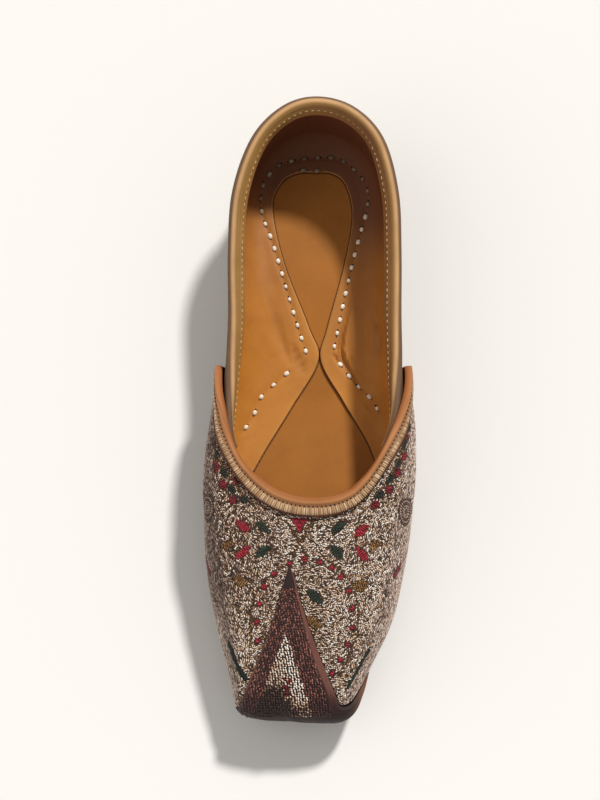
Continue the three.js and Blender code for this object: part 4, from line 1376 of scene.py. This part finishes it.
def on_motif(turn, h, distance, x, at):
    """Whether places on the vamp belong to a motif and not to the ground."""
    motif = in_triangle(x, at, 0.5)
    for leaf in LEAVES:
        motif |= leaf_shape(x, at, leaf, 0.3)
    for dot in ARCH:
        motif |= np.hypot(x - dot[0], at - dot[1]) < 1.5
    for half, points in LINES:
        motif |= near_line(x, at, points) < half
    motif &= h > WIDE_AT # below the widest line lies other work at the same x and at
    for coil in COILS:
        motif |= side_reach(turn, distance, coil) <= 1.03
    for leaf in SIDE_LEAVES:
        motif |= side_reach(turn, distance, leaf[1:]) <= 1.12
    for half, points in SIDE_LINES:
        line = [(t * TURN_SIZE, d) for t, d in points]
        motif |= near_line(turn * TURN_SIZE, distance, line) <= half
    return motif


def ground_stitches(fold):
    """Sorts the ground into threads, clear of the motifs, the band and the tongue."""
    rng = np.random.default_rng(21)
    turn, h, distance = ground_rows().T
    place, normal, along, up = surface_frames(turn, h)
    x = place[:, 0] / MM - SHIFT_X
    at = LENGTH / 2 + SHIFT_AT - place[:, 1] / MM
    keep = distance > mix(BAND_WIDE, BAND_NARROW, band_narrowing(turn)) + 0.2
    keep &= ~covered(place, normal, fold) & ~on_motif(turn, h, distance, x, at)
    x, at, place, normal, along, up = (v[keep] for v in (x, at, place, normal, along, up))
    count = len(x)
    side = smooth(0.86, 0.55, normal[:, 2])
    swing = mix(1.1, 0.12, side) * (wander(x, at) + rng.uniform(-0.45, 0.45, count))
    way = along * np.cos(swing)[:, None] + up * np.sin(swing)[:, None]
    # The tone drifts slowly, and is darker on the inner side behind the toe: painted shade.
    tone_with_painted_light = 0.7 + 0.06 * wander(x * 0.6, at * 0.5) - 0.28 * smooth(-8, -30, x) * smooth(228, 198, at)
    fan = np.min([np.hypot(x - cx, at - cat) for cx, cat in FANS], axis=0)
    rings = np.sin(2 * np.pi * fan / FAN_SPACING) * smooth(4, 7, fan) * smooth(24, 15, fan)
    tone = np.clip(tone_with_painted_light + FAN_TONE * rings + rng.normal(0, 0.26, count), 0, 1)
    tone = np.where(rng.uniform(size=count) < 0.12, 0.05, tone)
    size = np.stack([mix(1.0, 1.05, side), mix(1.0, 0.9, side), mix(1.0, 0.75, side)], -1)
    size *= rng.uniform(0.85, 1.15, (count, 1))
    silk = rng.uniform(size=count) < 0.15 + 0.75 * side
    gold = ~silk & (rng.uniform(size=count) < 0.07 + 0.08 * smooth(200, 235, at))
    picks = {
        "silver": ~silk & ~gold, "inner_silk": silk & (x < 0), "outer_silk": silk & (x >= 0), "gold": gold,
    }
    found = (place, normal, way, size, tone)
    return {name: [tuple(part[pick] for part in found)] for name, pick in picks.items()}


LEAF_TONE, GARLAND_TONE = 0.58, 0.3


def motif_spots(threads, surface):
    """Adds each motif's own stitches to the threads."""
    rng = np.random.default_rng(31)

    def lay(name, x, at, angle, size, tone):
        x, at = np.asarray(x, float), np.asarray(at, float)
        places, outs = dropped(surface, x, at)
        angle = np.broadcast_to(np.asarray(angle, float), x.shape)
        ways = np.stack([np.cos(angle), -np.sin(angle), np.zeros_like(x)], -1)
        tones = np.clip(tone + rng.normal(0, 0.18, len(x)), 0, 1)
        threads.setdefault(name, []).append((places, outs, ways, even(len(x), size), tones))

    for name, cx, cat, length, width, angle in LEAVES:
        a = math.radians(angle)
        c, s = math.cos(a), math.sin(a)
        u, v = np.meshgrid(np.arange(-length / 2 + 0.5, length / 2, 0.85),
                           np.arange(-width / 2, width / 2 + 0.1, 0.7))
        u = u.ravel() + rng.uniform(-0.1, 0.1, u.size)
        v = v.ravel() + rng.uniform(-0.1, 0.1, v.size)
        inside = np.abs(v) / (width / 2) < 1.02 - (u / (length / 2)) ** 2
        x = cx + u * c - v * s
        at = cat + u * s + v * c
        tone = GARLAND_TONE if cat < GARLAND_END else LEAF_TONE
        lay(name, x[inside], at[inside], a + 1.1, (1.1, 1.25, 1.4), tone)
        ends = np.linspace(-0.9, 0.9, 7)
        rim = (1 - ends**2) * (width / 2 + 0.7)
        for side in (-1, 1):
            x = cx + ends * length / 2 * c - side * rim * s
            at = cat + ends * length / 2 * s + side * rim * c
            lay("gold" if name != "gold" else "silver", x, at, a, (1.0, 0.7, 1.0), 0.08)
    for i, (cx, cat) in enumerate(ARCH):
        ring = np.arange(5) * 2 * np.pi / 5 + i + rng.uniform(-0.35, 0.35, 5)
        reach = rng.uniform(0.55, 1.05, 5)
        lay("red", cx + reach * np.cos(ring), cat + reach * np.sin(ring), ring + 1.5, (1.0, 1.2, 1.3), 0.5)
        lay("red", [cx], [cat], 0.3, (1.1, 1.4, 1.8), 0.75)
    for half, points in LINES:
        line = np.array([(x, at, 0) for x, at in points], float)
        share = np.linspace(0, 1, 20)[:, None]
        dense = np.concatenate([mix(a, b, share) for a, b in zip(line[:-1], line[1:])])
        marks = walk(dense * MM, 1.2)
        x, at, _ = sampled(dense, marks).T
        ways = sampled(np.gradient(dense, axis=0), marks)
        lay("gold", x, at, np.arctan2(ways[:, 1], ways[:, 0]), (1.1, 0.9 + half, 1.1), 0.3)
    for down in np.arange(0.4, TRIANGLE["height"], 0.8):
        half = TRIANGLE["width"] / 2 * (1 - down / TRIANGLE["height"])
        x = np.arange(-half, half + 0.1, 0.85)
        lay("red", TRIANGLE["x"] + x, np.full(len(x), TRIANGLE["at"] + down), 1.3, (1.1, 1.3, 1.4), 0.55)


def side_motifs(threads):
    """Coils of couched cord, leaves and lines low on the vamp's sides."""
    rng = np.random.default_rng(51)

    def lay(name, turn, distance, low, high, size, pitch):
        """Stitches end to end along a line of the chart, with tones between low and high."""
        line, normal, _, _ = surface_frames(turn, height_at(turn, distance))
        marks = walk(line, pitch)
        ways = unit(sampled(np.gradient(line, axis=0), marks))
        tones = np.clip(rng.uniform(low, high, len(marks)), 0, 1)
        stitches = (sampled(line, marks), unit(sampled(normal, marks)), ways, even(len(marks), size), tones)
        threads[name].append(stitches)

    angle = np.linspace(0, 2 * np.pi, 91)
    for centre, depth, wide, deep in COILS:
        name = "inner_silk" if centre < 0 else "outer_silk"
        for ring in range(COIL_RINGS):
            radius = (ring + 0.5) / COIL_RINGS
            turn = centre + radius * np.cos(angle) * wide / TURN_SIZE
            distance = depth + radius * np.sin(angle) * deep
            tone = 0.08 if ring in DARK_RINGS else 0.6
            lay(name, turn, distance, tone - 0.1, tone + 0.1, (0.95, 1.5, 1.3), 1.1)
    for name, centre, depth, wide, deep in SIDE_LEAVES:
        for down in np.arange(-deep + 0.4, deep, 0.75):
            half = wide * math.sqrt(1 - (down / deep) ** 2)
            turn = centre + np.linspace(-half, half, 12) / TURN_SIZE
            lay(name, turn, np.full(12, depth + down), 0, 0.35, (1.05, 1.3, 1.4), 0.9)
    for half, points in SIDE_LINES:
        turn, distance = smooth_line(points).T
        for strand in SIDE_STRANDS:
            lay("green", turn, distance + strand * half, 0, 0.4, (1.1, 1.3, 1.3), 1.15)


FINE_STITCH = (1.2, 0.54, 0.7)
SILK_STITCH = (1.3, 0.58, 0.76)


def embroidery(surface, fold):
    threads = ground_stitches(fold)
    threads.update({"red": [], "green": []})
    motif_spots(threads, surface)
    side_motifs(threads)
    for name, material, size in (
        ("silver", SILVER, FINE_STITCH), ("inner_silk", SIDE_SILK, FINE_STITCH),
        ("outer_silk", SIDE_SILK, FINE_STITCH), ("gold", GOLD, FINE_STITCH), ("red", RED, SILK_STITCH),
        ("green", GREEN, SILK_STITCH),
    ):
        sew("vamp_" + name + "_stitches", threads[name], material, size, 0.14, 1, 12)


# ---- Thong stitches that hold the lining to the soles ----
THONG_LIFT = 0.25
SLITS = ((1.25, 1.5), (-1.35, 0.7)) # beyond each end of a stitch: how far towards the heel, and how wide


def thong_stitches(surface):
    """Fat cream stitches, darker towards the heel, each between two slits."""
    rng = np.random.default_rng(41)
    laid, slits = [], []
    for pitch, points in THONG_ROWS:
        line = smooth_line(points)
        marks = walk(line * MM, pitch, 0.6)
        spots = sampled(line, marks)
        ways = unit(sampled(np.gradient(line, axis=0), marks))
        places, outs = dropped(surface, spots[:, 0], spots[:, 1])
        count = len(spots)
        way = np.stack([ways[:, 0], -ways[:, 1], np.zeros(count)], -1)
        way[:, :2] += rng.uniform(-0.12, 0.12, (count, 2))
        size = even(count) * rng.uniform(0.82, 1.1, (count, 1))
        tone_from_heel = 0.12 + 0.75 * smooth(30, 48, spots[:, 1])
        tones = np.clip(tone_from_heel + rng.uniform(-0.12, 0.15, count), 0, 1)
        laid.append((places + outs * THONG_LIFT * MM, outs, way, size, tones))
        heelward = np.where(ways[:, 1:] < 0, 1, -1)
        for reach, width in SLITS:
            ends = spots + ways * heelward * reach
            places, outs = dropped(surface, ends[:, 0], ends[:, 1])
            slits.append((places, outs, way, even(count, (1, width, 1)), rng.uniform(0, 1, count)))
    sew("lining_thong_stitches", laid, CREAM, (2.35, 1.8, 1.4), 0.1, 3, 42)
    sew("lining_awl_slits", slits, DARK, (1.1, 0.7, 0.3), 0.15, 2, 43)


# ---- Assembly ----
upper = upper_piece()
soles()
vamp = vamp_piece()
band_sections, band_shares = throat_band()
band_stitches(band_sections, band_shares)
collar_binding()
tongue = toe_curl()
tongue_stitches(tongue)
embroidery(surface_of(vamp), surface_of(tongue))
thong_stitches(surface_of(upper))


# ---- Stage, light and camera ----
def studio():
    """A sheet of paper, a key light from above the heel's outer side, and a soft fill from the inner side."""
    mesh = bpy.data.meshes.new("floor")
    half = 3.0
    corners = [(-half, -half, 0), (half, -half, 0), (half, half, 0), (-half, half, 0)]
    mesh.from_pydata(corners, [], [(0, 1, 2, 3)])
    mesh.materials.append(paper("matt_white_paper", "#ececea"))
    linked("floor", mesh)
    for name, energy, spread, tint, towards in (
        ("key", 3.0, 6, (1.0, 0.97, 0.93), (0.44, 0.82, 1.0)),
        ("fill", 0.6, 70, (1.0, 0.95, 0.88), (-0.9, -0.15, 0.8)),
    ):
        light = bpy.data.lights.new(name, "SUN")
        light.energy = energy
        light.angle = math.radians(spread)
        light.color = tint
        linked(name, light).rotation_euler = Vector(towards).to_track_quat("Z", "Y").to_euler()
    world = bpy.data.worlds.new("studio")
    world.use_nodes = True
    background = world.node_tree.nodes["Background"].inputs
    background["Color"].default_value = (1.0, 0.97, 0.93, 1)
    background["Strength"].default_value = 0.36
    bpy.context.scene.world = world
    bpy.context.scene.view_settings.view_transform = "Standard"


def camera():
    """Above the instep, tilted a little towards the toe."""
    tilt = math.radians(9)
    reach = 0.9
    target = Vector((SHIFT_X, SHIFT_AT, 25)) * MM
    data = bpy.data.cameras.new("camera")
    data.lens = 96.4
    data.sensor_width = 36
    data.shift_x = -0.0125
    data.shift_y = 0.0149
    data.clip_start = 0.05
    view = linked("camera", data)
    view.location = target + Vector((0, -math.sin(tilt), math.cos(tilt))) * reach
    view.rotation_euler = (tilt, 0, 0)
    bpy.context.scene.camera = view


studio()
camera()
